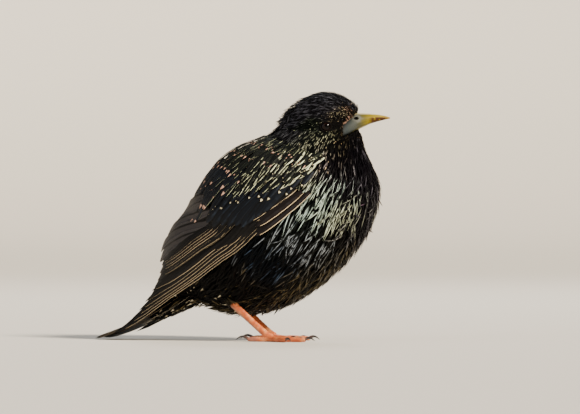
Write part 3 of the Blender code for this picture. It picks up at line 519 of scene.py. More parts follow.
def feather_mesh(
    name, lines, facing, half_widths, shares, section, attributes, corners, patch, mirrored=False
):
    """One mesh of closed vanes, each along a line of places, with its outward direction at each.

    attributes maps a name to one value or colour for each feather. The vane's own coordinates are
    kept with them: along, across, and barb, the distance in millimetres that its barbs run at.
    There are thousands of vanes of one pattern, so they are written straight into the mesh.
    """
    count, steps = lines.shape[:2]
    sides = len(section)
    along = unit(np.gradient(lines, axis=1))
    beside = unit(np.cross(facing, along))
    upright = np.cross(along, beside)
    across = half_widths[:, :-1, None] * section[:, 0]
    raised = half_widths[:, :-1, None] * section[:, 1]
    rings = lines[:, :-1, None] + beside[:, :-1, None] * across[..., None]
    rings = rings + upright[:, :-1, None] * raised[..., None]
    points = np.concatenate((rings.reshape(count, -1, 3), lines[:, -1:]), 1)
    size = points.shape[1]
    template, totals = [], []
    for s in range(steps - 2):
        for k in range(sides):
            j = (k + 1) % sides
            template += [s * sides + k, (s + 1) * sides + k, (s + 1) * sides + j, s * sides + j]
            totals.append(4)
    for k in range(sides):
        template += [(steps - 2) * sides + k, size - 1, (steps - 2) * sides + (k + 1) % sides]
        totals.append(3)
    template += list(range(sides))
    totals.append(sides)
    if mirrored:
        points = points * (1, -1, 1)
        template = template[::-1]
        totals = totals[::-1]
    corners_of = (np.array(template)[None] + np.arange(count)[:, None] * size).ravel()
    totals = np.tile(totals, count)
    mesh = bpy.data.meshes.new(name)
    mesh.vertices.add(count * size)
    mesh.vertices.foreach_set("co", placed(points).astype(np.float32).ravel())
    mesh.loops.add(len(corners_of))
    mesh.loops.foreach_set("vertex_index", corners_of.astype(np.int32))
    mesh.polygons.add(len(totals))
    mesh.polygons.foreach_set("loop_start", np.concatenate(((0,), np.cumsum(totals)[:-1])).astype(np.int32))
    mesh.update(calc_edges=True)
    mesh.validate()
    mesh.shade_smooth()

    per_step = np.repeat(shares[:-1], sides)
    share = np.tile(np.append(per_step, 1.0), count)
    aside = np.tile(np.append(np.tile(section[:, 0], steps - 1), 0.0), count)
    lengths = np.linalg.norm(np.diff(lines, axis=1), axis=-1).sum(1)
    run = np.repeat(lengths, size) * share
    off = np.abs(np.concatenate((across.reshape(count, -1), np.zeros((count, 1))), 1)).ravel()
    own = {"along": share, "across": aside, "barb": run - off * BARB_SLANT}
    for label, values in own.items():
        store(mesh, label, values)
    for label, values in attributes.items():
        store(mesh, label, np.repeat(values, size, axis=0))
    unwrap = mesh.uv_layers.new(name="OFBake")
    flat = np.repeat(corners, size, axis=0)
    flat = flat + np.stack((aside * patch[0] / 2, (share - 0.5) * patch[1]), -1)
    unwrap.data.foreach_set("uv", flat[corners_of].astype(np.float32).ravel())
    made = put(name, mesh)
    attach(made, "root")
    return made


def laid(roots, ways, lengths, bends):
    """Lines over the skin from each root, and the skin's normals along them."""
    lines = np.empty((len(roots), PLUME_STEPS, 3))
    normals = np.empty_like(lines)
    for i, (root, way, length, bend) in enumerate(zip(roots, ways, lengths, bends)):
        place, normal, _, _ = SKIN_SURFACE.find_nearest(Vector(root))
        way, bend = Vector(way), Vector(bend)
        for s, share in enumerate(PLUME_SHARES):
            if s:
                pace = length * (share - PLUME_SHARES[s - 1])
                way = way + bend * pace
                way = (way - normal * way.dot(normal)).normalized()
                place, normal, _, _ = SKIN_SURFACE.find_nearest(place + way * pace)
            lines[i, s] = place
            normals[i, s] = normal
    return lines, normals


def on_skin(points):
    """The places on the skin nearest to points, the normals there, and how far off they are."""
    found = [SKIN_SURFACE.find_nearest(Vector(p)) for p in points]
    return [np.array([hit[k] for hit in found]) for k in (0, 1, 3)]


def flattened(ways, normals):
    """Directions turned to run along the surface that the normals stand on."""
    return unit(ways - normals * (ways * normals).sum(1, keepdims=True))


def rolled(lines, normals, rolls):
    """The normals along lines, turned about each line by its own roll."""
    rolls = rolls[:, None, None]
    return normals * np.cos(rolls) + np.cross(unit(np.gradient(lines, axis=1)), normals) * np.sin(rolls)


def rooted(surface, regions, first, last, draw):
    """Places on a surface of rings where feathers root, in staggered rows, as (u, angle)."""
    found = []
    u, row = first, 0
    fine = np.linspace(-math.pi, math.pi, RING_SAMPLES)
    while u < last:
        here = np.full(RING_SAMPLES, u)
        numbers, _ = looks_at(regions, here, np.degrees(fine))
        pace = np.linalg.norm(np.diff(surface(here, fine), axis=0), axis=1)
        counted = np.append(0, np.cumsum(pace / (SPACING_ACROSS * numbers[1:, 1])))
        spots = np.arange(0.5 * (row % 2), counted[-1], 1.0)
        spots = spots + draw.uniform(-0.35, 0.35, len(spots))
        angle = np.interp(spots, counted, fine)
        wanted = np.interp(spots, counted, numbers[:, 0]) * SPACING_ALONG
        ahead = surface(np.full(len(spots), u + 0.05), angle) - surface(np.full(len(spots), u), angle)
        ring_pace = np.linalg.norm(ahead, axis=1) / 0.05
        step = np.percentile(wanted / np.maximum(ring_pace, 1e-3), CLOSEST_ROWS)
        keep = draw.uniform(0, 1, len(spots)) < step * ring_pace / wanted
        jitter = draw.uniform(-0.4, 0.4, len(spots)) * step
        found += [(u + j, a) for j, a in zip(jitter[keep], angle[keep])]
        u += step
        row += 1
    return np.array(found)


WING_BED_FROM = 4  # the wing's bed begins at this ring of the trunk
WING_UPPER = ((2.0, 104), (2.5, 88), (3.2, 72), (4.0, 62), (4.8, 57), (6.5, 60), (7.2, 75))
WING_LOWER = ((2.0, 110), (4.0, 101), (6.1, 92), (7.2, 80))


def under_wing(u, degrees):
    """Whether places on the trunk lie well under the folded wing."""
    bed = u - WING_BED_FROM
    upper = np.interp(bed, *np.array(WING_UPPER).T)
    lower = np.interp(bed, *np.array(WING_LOWER).T)
    return (bed > 2.0) & (bed < 7.2) & (np.abs(degrees) > upper) & (np.abs(degrees) < lower)


def from_near_eye(head_frame):
    """How far places in the head's own frame are from the middle of the eye on their side."""
    return np.where((False, True, False), np.abs(head_frame), head_frame) - EYE


def clear_of_eyes(lines):
    """Lines moved aside to run round an eye's opening, and which of them don't cross its middle."""
    head_frame = unturned(lines)
    gap = from_near_eye(head_frame)
    reach = np.hypot(gap[..., 0] / EYE_CLEAR[0], gap[..., 2] / EYE_CLEAR[1])
    beside = np.abs(gap[..., 1]) < EYE_DEPTH
    push = np.where(beside & (reach < 1), 1 / np.maximum(reach, 0.2) - 1, 0.0)
    head_frame[..., 0] += gap[..., 0] * push
    head_frame[..., 2] += gap[..., 2] * push
    return turned(head_frame), ~(beside & (reach < EYE_CROSSED)).any(axis=1)


def tinted(colour, shades, shares):
    """A colour for each feather, times its shade, with the share that a marking takes as alpha."""
    return np.column_stack((np.array(linear(colour)[:3]) * shades[:, None], shares * np.ones(len(shades))))


def plume_piece(name, lines, facing, half_widths, attributes, corners):
    """One piece of small soft feathers."""
    outlines = half_widths[:, None] * PLUME_OUTLINE
    made = feather_mesh(
        name, lines, facing, outlines, PLUME_SHARES, PLUME_SECTION, attributes, corners, (PATCH, PATCH)
    )
    made.data.materials.append(PLUMAGE)


def plumage(name, surface, regions, unwrap, first, last, sector, seed):
    """The feathers of one stretch of the body, between two angles from the back."""
    draw = np.random.default_rng(seed)
    spots = rooted(surface, regions, first, last, draw)
    degrees = np.abs(np.degrees(spots[:, 1]))
    u, angle = spots[(degrees >= sector[0]) & (degrees < sector[1])].T
    raw = surface(u, angle)
    ways = unit(surface(u + 0.1, angle) - raw)
    roots, outward, away = on_skin(raw)
    above = ((raw - roots) * outward).sum(1)
    head_frame = unturned(roots)
    keep = (away < ROOT_REACH) & (above > -ROOT_BENEATH)
    keep &= np.abs(head_frame[:, 1]) > bill_half_width(head_frame) - HORN_ON_SKIN + 0.1
    keep &= np.linalg.norm(from_near_eye(head_frame) * (0.8, 1.0, 1.0), axis=1) > EYE_BARE
    if surface is trunk_point:
        keep &= ~under_wing(u, np.degrees(angle))
    u, angle, roots, ways = u[keep], angle[keep], roots[keep], ways[keep]
    count = len(u)
    numbers, colours = looks_at(regions, u, np.degrees(angle))
    length, width, rise, loose, gloss, tip = numbers.T
    length = length * draw.uniform(0.8, 1.2, count)
    width = width * draw.uniform(0.85, 1.15, count)
    yaw = draw.normal(0, 0.1, count) * (0.6 + loose)
    _, outward, _ = on_skin(roots)
    ways = flattened(ways, outward)
    ways = ways * np.cos(yaw)[:, None] + np.cross(outward, ways) * np.sin(yaw)[:, None]
    bends = draw.normal(0, 0.02, (count, 3)) * loose[:, None]
    lines, normals = laid(roots, ways, length, bends)
    lift = np.abs(draw.normal(0, 0.35, count)) * loose
    t = PLUME_SHARES[None]
    heights = -ROOT_DEPTH + (rise[:, None] + ROOT_DEPTH) * t**0.8 + lift[:, None] * t**2
    lines, clear = clear_of_eyes(lines + normals * heights[..., None])
    clear &= off_the_horn(lines)
    facing = rolled(lines, normals, draw.normal(0, 0.22, count))
    shade = draw.uniform(0.7, 1.3, count)[:, None]
    tipped = np.where(draw.uniform(0, 1, count) < tip, draw.uniform(0.12, 0.3, count), 0.0)
    glossed = np.where(draw.uniform(0, 1, count) < gloss, draw.uniform(0.7, 1.0, count), 0.01)
    attributes = {
        "ground": np.column_stack((colours[0] * shade, np.ones(count))),
        "gloss": np.column_stack((colours[1] * draw.uniform(0.8, 1.25, count)[:, None], glossed)),
        "tip": np.column_stack((colours[2] * draw.uniform(0.7, 1.1, count)[:, None], tipped)),
    }
    attributes = {label: values[clear] for label, values in attributes.items()}
    corners = unwrap(u[clear], angle[clear])
    plume_piece(name, lines[clear], facing[clear], width[clear] / 2, attributes, corners)
    PLACED_ROOTS.append((roots[clear], attributes["ground"]))


def trunk_unwrap(u, angle):
    """Places on the bake's map for the feathers of the trunk."""
    return np.stack((0.3 + angle / math.pi * 0.28, 0.03 + u / 18 * 0.94), -1)


def head_unwrap(u, angle):
    """And for those of the head, beside them."""
    return np.stack((0.8 + angle / math.pi * 0.17, 0.55 + u / 9 * 0.42), -1)


def marked(material, under, mark, place, fade, gaps=None):
    """Lays a mark's colour over another one from where place passes 1 less the mark's own share."""
    start = add_node(material, "Math", [(1, mark.outputs["Alpha"])], operation="SUBTRACT", in0=1.0)
    past = add_node(material, "Math", [(0, place), (1, start.outputs[0])], operation="SUBTRACT")
    shown = add_node(
        material, "MapRange", [("Value", past.outputs[0])],
        interpolation_type="SMOOTHSTEP", From_Min=fade[0], From_Max=fade[1],
    )
    if gaps is not None:
        shown = add_node(material, "Math", [(0, shown.outputs[0]), (1, gaps)], operation="MULTIPLY")
    links = [(0, shown.outputs[0]), (6, under), (7, mark.outputs["Color"])]
    return add_node(material, "Mix", links, data_type="RGBA").outputs[2]


def ridge_barbs(material, shader, barb, pitch, depth, strength):
    """Gives a vane its fine ridges, one for each barb."""
    turns = add_node(
        material, "Math", [(0, barb.outputs["Fac"])], operation="MULTIPLY", in1=2 * math.pi / pitch
    )
    wave = add_node(material, "Math", [(0, turns.outputs[0])], operation="SINE")
    bump = add_node(material, "Bump", [("Height", wave.outputs[0])], Strength=strength, Distance=depth * MM)
    connect(material, bump.outputs[0], shader.inputs["Normal"])


# Keratin with the gloss of its barbules: a black ground, a streak by the shaft in the gloss colour, which is
# partly the feather's own sheen and partly a painted highlight, partly metallic, and a pale tip. Here and on
# the quills the barbs are drawn several times as coarse as real ones, so that they show.
GLOSS_METAL = 0.4
GLOSS_PATCH = 2.2  # size of the patches that the gloss comes and goes in
PLUME_BARB_PITCH = 0.24
PLUME_BARB_DEPTH = 0.015
PLUMAGE, plumage_shader = new_material(
    "glossy_plumage_keratin", Roughness=0.34, IOR=1.54, Specular_IOR_Level=0.045
)
read = {
    label: add_node(PLUMAGE, "Attribute", attribute_name=label)
    for label in ("ground", "gloss", "tip", "along", "across", "barb")
}
place = add_node(PLUMAGE, "TexCoord")
mottle = add_node(
    PLUMAGE, "TexNoise", [("Vector", place.outputs["Object"])], Scale=1 / (GLOSS_PATCH * MM), Detail=3.0
)
patchy = add_node(PLUMAGE, "MapRange", [("Value", mottle.outputs["Fac"])], From_Min=0.32, From_Max=0.52)
aside = add_node(PLUMAGE, "Math", [(0, read["across"].outputs["Fac"])], operation="ABSOLUTE")
streak = add_node(
    PLUMAGE, "MapRange", [("Value", aside.outputs[0])],
    interpolation_type="SMOOTHSTEP", From_Min=0.8, From_Max=0.15,
)
outer = add_node(
    PLUMAGE, "MapRange", [("Value", read["along"].outputs["Fac"])],
    interpolation_type="SMOOTHSTEP", From_Min=0.3, From_Max=0.6,
)
# lit is where the painted highlight shows: a streak by the shaft, over the outer part of the feather, in
# patches, on the feathers that have gloss.
lit = streak.outputs[0]
for share in (outer.outputs[0], patchy.outputs[0], read["gloss"].outputs["Alpha"]):
    lit = add_node(PLUMAGE, "Math", [(0, lit), (1, share)], operation="MULTIPLY").outputs[0]
colour = add_node(
    PLUMAGE, "Mix", [(0, lit), (6, read["ground"].outputs["Color"]), (7, read["gloss"].outputs["Color"])],
    data_type="RGBA",
)
colour = marked(PLUMAGE, colour.outputs[2], read["tip"], read["along"].outputs["Fac"], (0.01, 0.07))
connect(PLUMAGE, colour, plumage_shader.inputs["Base Color"])
metal = add_node(PLUMAGE, "Math", [(0, lit)], operation="MULTIPLY", in1=GLOSS_METAL)
connect(PLUMAGE, metal.outputs[0], plumage_shader.inputs["Metallic"])
ridge_barbs(PLUMAGE, plumage_shader, read["barb"], PLUME_BARB_PITCH, PLUME_BARB_DEPTH, 0.5)

PLACED_ROOTS = []  # where the feathers root, and their ground colours
HEAD = (head_point, HEAD_REGIONS, head_unwrap)
TRUNK = (trunk_point, TRUNK_REGIONS, trunk_unwrap)
for name, part, first, last, sector, seed in (
    ("face_and_crown_feathers", HEAD, 0.1, 4.6, (0, 181), 11),
    ("nape_and_cheek_feathers", HEAD, 4.6, 8.9, (0, 181), 12),
    ("neck_hackles", TRUNK, 0.8, 4.2, (0, 181), 13),
    ("mantle_feathers", TRUNK, 4.2, 10.5, (0, 88), 14),
    ("breast_feathers", TRUNK, 4.2, 8.2, (88, 181), 15),
    ("belly_feathers", TRUNK, 8.2, 12.5, (88, 181), 16),
    ("rump_feathers", TRUNK, 10.5, 17.6, (0, 88), 17),
    ("vent_feathers", TRUNK, 12.5, 17.6, (88, 181), 18),
):
    plumage(name, *part, first, last, sector, seed)

# Bristles. Stiff thin feathers, little more than shafts, that lie forward from the face over the base of
# the bill, rooted in the skin round it. Some by the nostrils are pinkish at the tip.
BRISTLES = 700
BRISTLE_LEVELS = (101.0, 114.5)
BRISTLE_SETBACKS = (0.5, 2.2)  # how far behind the feathers' edge on the bill they root
BRISTLE_FLANK = 8.0
BRISTLE_LENGTHS = (1.0, 2.2)
BRISTLE_RISES = (0.5, 1.1)
BRISTLE_HALF_WIDTHS = (0.13, 0.22)
PINK_LEVELS = (107.5, 112.0)
PINK_SHARE = 0.3
draw = np.random.default_rng(19)
level = draw.uniform(*BRISTLE_LEVELS, BRISTLES)
ahead = feather_line(level) - draw.uniform(*BRISTLE_SETBACKS, BRISTLES)
flank = draw.choice((-1.0, 1.0), BRISTLES) * BRISTLE_FLANK * np.sqrt(draw.uniform(0.02, 1, BRISTLES))
roots, outward, _ = on_skin(turned(np.stack((ahead, flank, level), -1)))
ways = turned(np.array((TURN_CENTRE_X + 1.0, 0.0, 0.0))) - turned(np.array((TURN_CENTRE_X, 0.0, 0.0)))
ways = ways + np.stack((np.zeros(BRISTLES), np.zeros(BRISTLES), draw.normal(0.1, 0.25, BRISTLES)), -1)
lengths = draw.uniform(*BRISTLE_LENGTHS, BRISTLES)
bends = draw.normal(0, 0.1, (BRISTLES, 3))
lines, normals = laid(roots, flattened(ways, outward), lengths, bends)
lines = lines + normals * (-0.2 + draw.uniform(*BRISTLE_RISES, (BRISTLES, 1)) * PLUME_SHARES)[..., None]
shades = draw.uniform(0.7, 1.4, BRISTLES)
even = np.ones(BRISTLES)
pink = np.where((level > PINK_LEVELS[0]) & (level < PINK_LEVELS[1]), PINK_SHARE, 0.0)
attributes = {
    "ground": tinted(SOOT, shades, 1.0),
    "gloss": tinted(OLIVE_GLOSS, even, 0.2),
    "tip": tinted(ROSE_TIP, even, pink),
}
half_widths = draw.uniform(*BRISTLE_HALF_WIDTHS, BRISTLES)
corners = np.stack((0.62 + flank * 0.004, 0.56 + (level - BRISTLE_LEVELS[0]) * 0.008), -1)
plume_piece("bill_bristles", lines, normals, half_widths, attributes, corners)

# Down. The skin takes the colour of the feathers round each place, so that no gap between feathers shows,
# and looks dull and finely matted.
DOWN_TUFT = 1.0
DOWN_DEPTH = 0.2
tree = KDTree(sum(len(roots) for roots, _ in PLACED_ROOTS))
near_colours = np.concatenate([colours for _, colours in PLACED_ROOTS])
for index, root in enumerate(np.concatenate([roots for roots, _ in PLACED_ROOTS])):
    tree.insert(root, index)
tree.balance()
picked = np.array([tree.find(p)[1] for p in in_mm(skin.data)])
store(skin.data, "ground", near_colours[picked])
down, down_shader = new_material("dark_down", Roughness=0.9, Specular_IOR_Level=0.1)
down_colour = add_node(down, "Attribute", attribute_name="ground")
down_place = add_node(down, "TexCoord")
down_noise = add_node(
    down, "TexNoise", [("Vector", down_place.outputs["Object"])], Scale=1 / (DOWN_TUFT * MM)
)
down_bump = add_node(down, "Bump", [("Height", down_noise.outputs["Fac"])], Distance=DOWN_DEPTH * MM)
connect(down, down_colour.outputs["Color"], down_shader.inputs["Base Color"])
connect(down, down_bump.outputs[0], down_shader.inputs["Normal"])
skin.data.materials.append(down)

# Wings, folded. Rows of stiff flat vanes with the shaft nearer the outer edge, each overlapped by the row
# above: blue-black coverts with pale tips, brown-black quills with a golden-buff outer edge, and grey-brown
# tertials over two dark rows that close the gap to the tail.
BED_RINGS = np.vstack((TRUNK_RINGS[WING_BED_FROM:11], (
    (-44.5, 57.5, 21.0, 25.5, 29.8),
    (-49.5, 49.0, 2.7, 18.5, 26.0),
    (-52.3, 41.0, -15.6, 15.0, 21.8),
    (-54.8, 34.0, -31.8, 12.5, 18.4),
    (-59.5, 26.5, -44.2, 10.0, 15.8),
    (-65.0, 19.5, -53.9, 7.0, 14.2),
    (-73.0, 12.5, -64.2, 3.0, 13.2),
    (-82.0, 6.5, -76.0, -1.0, 12.6),
)))
QUILL_STEPS = 16
QUILL_SHARES = np.linspace(0, 1, QUILL_STEPS)
QUILL_SECTION = np.array((
    (-1.0, -0.03), (-0.62, 0.03), (-0.2, 0.055), (0.26, 0.06), (0.34, 0.12),
    (0.42, 0.06), (0.72, 0.04), (1.0, 0.0), (0.34, -0.05),
))
COVERT_SECTION = np.array((
    (-1.0, -0.05), (-0.5, 0.06), (0.0, 0.1), (0.1, 0.15), (0.2, 0.1), (0.6, 0.05), (1.0, -0.03), (0.1, -0.05),
))
QUILL_OUTLINE = ((0, 0.15, 0.5, 0.8, 0.93, 0.98, 1), (0.45, 0.8, 1.0, 0.86, 0.55, 0.25, 0.0))
POINTED_OUTLINE = ((0, 0.15, 0.4, 0.7, 0.9, 0.97, 1), (0.5, 0.85, 1.0, 0.8, 0.42, 0.18, 0.0))
TERTIAL_OUTLINE = ((0, 0.2, 0.6, 0.82, 0.93, 0.98, 1), (0.5, 0.8, 1.0, 0.92, 0.6, 0.25, 0.0))
ROUND_OUTLINE = ((0, 0.2, 0.6, 0.85, 0.95, 1), (0.5, 0.85, 1.0, 0.8, 0.45, 0.0))
SHINGLE_TILT = math.radians(7)


def on_bed(u, degrees):
    """Places on the right wing's bed, and the outward normals there."""
    angle = -np.radians(degrees)
    place = ring_point(BED_RINGS, u, angle)
    along = ring_point(BED_RINGS, u + 0.02, angle) - ring_point(BED_RINGS, u - 0.02, angle)
    around = ring_point(BED_RINGS, u, angle - 0.02) - ring_point(BED_RINGS, u, angle + 0.02)
    return place, unit(np.cross(along, around))


def between(at, marks, places):
    """Rows of numbers at stations between those of places, which stand at marks."""
    return np.stack([np.interp(at, marks, column) for column in np.asarray(places).T], -1)


def through(places, count):
    """count rows of numbers evenly along the stretches between places."""
    return between(np.linspace(0, len(places) - 1, count), range(len(places)), places)


def wing_row(roots, tips, lifts, bows, turn):
    """Lines over the bed from roots to tips, each (u, degrees), rising from lifts[0] to lifts[1].

    bows hold how far each line bows to the back, and how far its first half runs lower than its last.
    turn is the angle by which the vanes face down from the bed, towards the bird's side.
    """
    t = QUILL_SHARES[None, :, None]
    course = roots[:, None] + (tips - roots)[:, None] * t
    arch = t[..., 0] * (1 - t[..., 0])
    degrees = course[..., 1] - 4 * bows[:, :1] * arch + bows[:, 1:] * arch * (1 - 2 * t[..., 0])
    place, normal = on_bed(course[..., 0], degrees)
    lift = lifts[:, :1] + (lifts[:, 1:] - lifts[:, :1]) * t[..., 0] ** 0.7
    lines = place + normal * lift[..., None]
    along = unit(np.gradient(lines, axis=1))
    beside = unit(np.cross(normal, along))
    return lines, unit(normal + beside * math.tan(turn - SHINGLE_TILT))


def looks(count, draw, ground, edge, edge_share, tip, tip_share, gloss, gloss_share, least=0.8, both=0.0):
    """The attributes of a row of feathers: least is the least of a marking's share that one may have."""
    def varied(colour, share):
        shades = draw.uniform(0.8, 1.15, count)
        return tinted(colour, shades, share * draw.uniform(least, 1.15, count))
    return {
        "ground": varied(ground, 1.0),
        "edge": varied(edge, edge_share),
        "tip": varied(tip, tip_share),
        "gloss": varied(gloss, gloss_share),
        "both": np.full(count, both),
    }


def quill_piece(name, rows, section, material, mirrored=False):
    """One piece from rows of stiff feathers: each row's lines, outward directions, half widths and looks.

    The feathers lie side by side on the bake's map.
    """
    lines, facing, widths = (np.concatenate([row[k] for row in rows]) for k in range(3))
    attributes = {label: np.concatenate([row[3][label] for row in rows]) for label in rows[0][3]}
    strip = 1.0 / len(lines)
    corners = np.column_stack(((np.arange(len(lines)) + 0.5) * strip, np.full(len(lines), 0.5)))
    made = feather_mesh(
        name, lines, facing, widths, QUILL_SHARES, section, attributes, corners, (strip * 0.85, 0.9), mirrored
    )
    made.data.set_sharp_from_angle(angle=math.radians(50))
    made.data.materials.append(material)
    return made


def wing_piece(name, rows, section, material, draw, side):
    """One piece from rows of feathers over the wing's bed."""
    made = []
    for count, roots, tips, lifts, bows, width, outline, turn, colours in rows:
        roots, tips, lifts, bows = (through(places, count) for places in (roots, tips, lifts, bows))
        uneven = 1.0 if width < 4 else 0.4
        roots = roots + draw.normal(0, (0.05 * uneven, 1.2 * uneven), roots.shape)
        tips = tips + draw.normal(0, (0.13 * uneven, 1.3 * uneven), tips.shape)
        lines, facing = wing_row(roots, tips, lifts, bows, math.radians(turn))
        ragged = 1 + draw.normal(0, 0.025, (count, QUILL_STEPS))
        sizes = draw.uniform(0.94, 1.06, (count, 1))
        widths = width / 2 * sizes * np.interp(QUILL_SHARES, *outline) * ragged
        made.append((lines, facing, widths, looks(count, draw, *colours)))
    return quill_piece(name, made, section, material, side > 0)


def vane_material(name, barb_pitch, barb_depth, roughness, broken):
    """Stiff keratin vane: a dull ground, a paler outer edge, a marked tip, gloss and fine barbs.

    The edge mark is a real pale edge on the quills, a painted glint on the small coverts and painted shade on
    the rows with dark edges; broken marks have edges that come and go along the vane, as these glints do.
    """
    material, shader = new_material(name, Roughness=roughness, IOR=1.54, Specular_IOR_Level=0.12)
    read = {
        label: add_node(material, "Attribute", attribute_name=label)
        for label in ("ground", "edge", "tip", "gloss", "along", "across", "both", "barb")
    }
    across = read["across"].outputs["Fac"]
    place = add_node(material, "TexCoord")
    mottle = add_node(
        material, "TexNoise", [("Vector", place.outputs["Object"])], Scale=1 / (VANE_PATCH * MM), Detail=4.0
    )
    patchy = add_node(material, "MapRange", [("Value", mottle.outputs["Fac"])], From_Min=0.35, From_Max=0.65)
    # The gloss is a sheen, partly the feather's own and partly a painted highlight, across the middle of the
    # vane's visible part; the vane stays dark towards its edges.
    centred = add_node(material, "Math", [(0, across)], operation="SUBTRACT", in1=0.35)
    centred = add_node(material, "Math", [(0, centred.outputs[0])], operation="ABSOLUTE")
    inner = add_node(
        material, "MapRange", [("Value", centred.outputs[0])],
        interpolation_type="SMOOTHSTEP", From_Min=0.5, From_Max=0.1,
    )
    glossed = patchy.outputs[0]
    for share in (read["gloss"].outputs["Alpha"], inner.outputs[0]):
        glossed = add_node(material, "Math", [(0, glossed), (1, share)], operation="MULTIPLY").outputs[0]
    glossed = add_node(material, "Math", [(0, glossed)], operation="MULTIPLY", in1=0.5).outputs[0]
    colour = add_node(
        material, "Mix",
        [(0, glossed), (6, read["ground"].outputs["Color"]), (7, read["gloss"].outputs["Color"])],
        data_type="RGBA",
    ).outputs[2]
    gaps = None
    if broken:
        stretch = add_node(
            material, "TexNoise", [("Vector", place.outputs["Object"])], Scale=1 / (EDGE_STRETCH * MM)
        )
        gaps = add_node(
            material, "MapRange", [("Value", stretch.outputs["Fac"])], From_Min=0.42, From_Max=0.5
        ).outputs[0]
    aside = add_node(material, "Math", [(0, across)], operation="ABSOLUTE")
    either = add_node(
        material, "Mix", [(0, read["both"].outputs["Fac"]), (2, across), (3, aside.outputs[0])]
    )
    colour = marked(material, colour, read["edge"], either.outputs[0], (0.0, 0.07), gaps)
    colour = marked(material, colour, read["tip"], read["along"].outputs["Fac"], (0.005, 0.04))
    connect(material, colour, shader.inputs["Base Color"])
    connect(material, glossed, shader.inputs["Metallic"])
    ridge_barbs(material, shader, read["barb"], barb_pitch, barb_depth, 0.6)
    return material


VANE_PATCH = 3.0  # size of the patches that the gloss comes and goes in
EDGE_STRETCH = 4.0  # and of the stretches that a broken edge does
VANE = vane_material("flight_feather_keratin", 0.6, 0.035, 0.5, False)
COVERT_VANE = vane_material("covert_feather_keratin", 0.4, 0.03, 0.45, True)
QUILL_BLACK = "#070606"
QUILL_BROWN = "#120d0c"
TERTIAL_BROWN = "#353233"
GOLDEN_EDGE = "#f6deb2"
NAVY_GLOSS = "#2b333f"
BUFF_EDGE = "#8d7553"
# Pale moss: a painted glint along the outer edges of the lesser coverts and the scapulars.
MOSS_PAINTED_GLINT = "#dde4bc"
COVERT_BLUE = "#090d14"
COVERT_GREEN = "#080b0a"
NO_BOW = ((0, 0),)
NO_MARKS = (QUILL_BLACK, SOOT, 0.1, SOOT, 0.0, SLATE_GLOSS, 0.1)
# Each row: how many feathers; their roots and tips on the bed, their lifts and their bows, as wing_row has
# them; width and outline; degrees that they face down; their looks. The primaries, secondaries, tertials
# and the two dark rows come first.
FLIGHT_ROWS = (
    (6, ((5.3, 82), (4.3, 100)), ((10.8, 60), (13.8, 92)), ((0.95, 2.0), (0.95, 1.2)), ((-3, -12), (10, -15)),
     6.0, POINTED_OUTLINE, 0.0, (QUILL_BLACK, GOLDEN_EDGE, 0.085, QUILL_BLACK, 0.0, SLATE_GLOSS, 0.1, 0.7)),
    (7, ((4.5, 86), (5.1, 67)), ((9.5, 59), (8.8, 44)), ((1.2, 2.3), (1.2, 2.8)), ((1, -14), (-2, -17)),
     5.4, POINTED_OUTLINE, 0.0, (QUILL_BLACK, GOLDEN_EDGE, 0.075, QUILL_BLACK, 0.0, SLATE_GLOSS, 0.1, 0.4)),
    # The tertials have dark edges on both sides: painted shade where each goes under the next.
    (5, ((5.99, 69.2), (5.6, 65.3), (5.24, 59.9), (5.04, 52.5), (4.89, 45.7)),
     ((9.0, 26), (8.55, 16), (7.6, 14), (6.8, 13), (6.35, 13)),
     ((1.4, 2.4), (1.5, 3.2), (1.6, 3.0), (1.7, 2.6), (1.8, 2.8)), NO_BOW,
     6.6, TERTIAL_OUTLINE, 14.0, (TERTIAL_BROWN, SOOT, 0.34, SOOT, 0.07, SLATE_GLOSS, 0.3, 0.8, 1.0)),
    (6, ((5.6, 70), (4.9, 50)), ((9.1, 38), (6.4, 16)), ((1.0, 1.6), (1.0, 1.8)), NO_BOW,
     7.5, TERTIAL_OUTLINE, 0.0, NO_MARKS),
    (4, ((6.4, 82), (5.8, 72)), ((11.0, 62), (9.6, 40)), ((0.9, 1.1), (0.9, 1.3)), NO_BOW,
     6.5, TERTIAL_OUTLINE, 0.0, NO_MARKS),
)
# The thumb's quills, the primary coverts, two at the wing's bend, the greater coverts, the median ones.
GREAT_COVERT_ROWS = (
    (3, ((2.5, 102), (2.7, 107)), ((4.7, 91), (5.0, 96.5)), ((0.95, 2.1), (0.95, 2.3)), NO_BOW,
     2.8, POINTED_OUTLINE, 0.0, (QUILL_BLACK, GOLDEN_EDGE, 0.24, SOOT, 0.0, SLATE_GLOSS, 0.1)),
    (6, ((3.4, 104), (4.6, 88)), ((5.3, 99), (6.7, 82)), ((0.95, 1.7), (0.95, 2.0)), NO_BOW,
     4.0, POINTED_OUTLINE, 0.0, (QUILL_BLACK, GOLDEN_EDGE, 0.12, SOOT, 0.0, SLATE_GLOSS, 0.1, 0.4)),
    (2, ((2.4, 113), (2.5, 109)), ((5.2, 99.5), (4.8, 97)), ((0.95, 2.1), (1.3, 2.6)), NO_BOW,
     4.6, ROUND_OUTLINE, 0.0, (QUILL_BROWN, GOLDEN_EDGE, 0.12, SOOT, 0.0, SLATE_GLOSS, 0.2)),
    # The greater and median coverts have dark edges on both sides: painted shade in the gaps where each
    # feather goes under the next.
    (9, ((1.9, 97.4), (2.9, 92), (3.5, 81.7), (4.1, 68.4)),
     ((4.2, 94.8), (5.0, 89.2), (5.4, 77.5), (5.8, 61)), ((0.9, 2.3), (1.0, 2.5)), NO_BOW,
     5.0, TERTIAL_OUTLINE, 12.0, (COVERT_BLUE, SOOT, 0.3, FAWN_TIP, 0.02, NAVY_GLOSS, 1.6, 0.6, 1.0)),
    (16, ((1.2, 105.9), (2.3, 94.3), (2.8, 78), (3.6, 68.7), (3.9, 60)),
     ((2.4, 103.6), (3.5, 94.4), (4.1, 78.6), (4.8, 67.4), (5.2, 58)), ((1.0, 2.5), (1.1, 2.7)), NO_BOW,
     3.2, POINTED_OUTLINE, 6.0,
     (COVERT_BLUE, SOOT, 0.2, CREAM_TIP, np.linspace(0.15, 0.05, 16), NAVY_GLOSS, 1.3, 0.7, 1.0)),
)
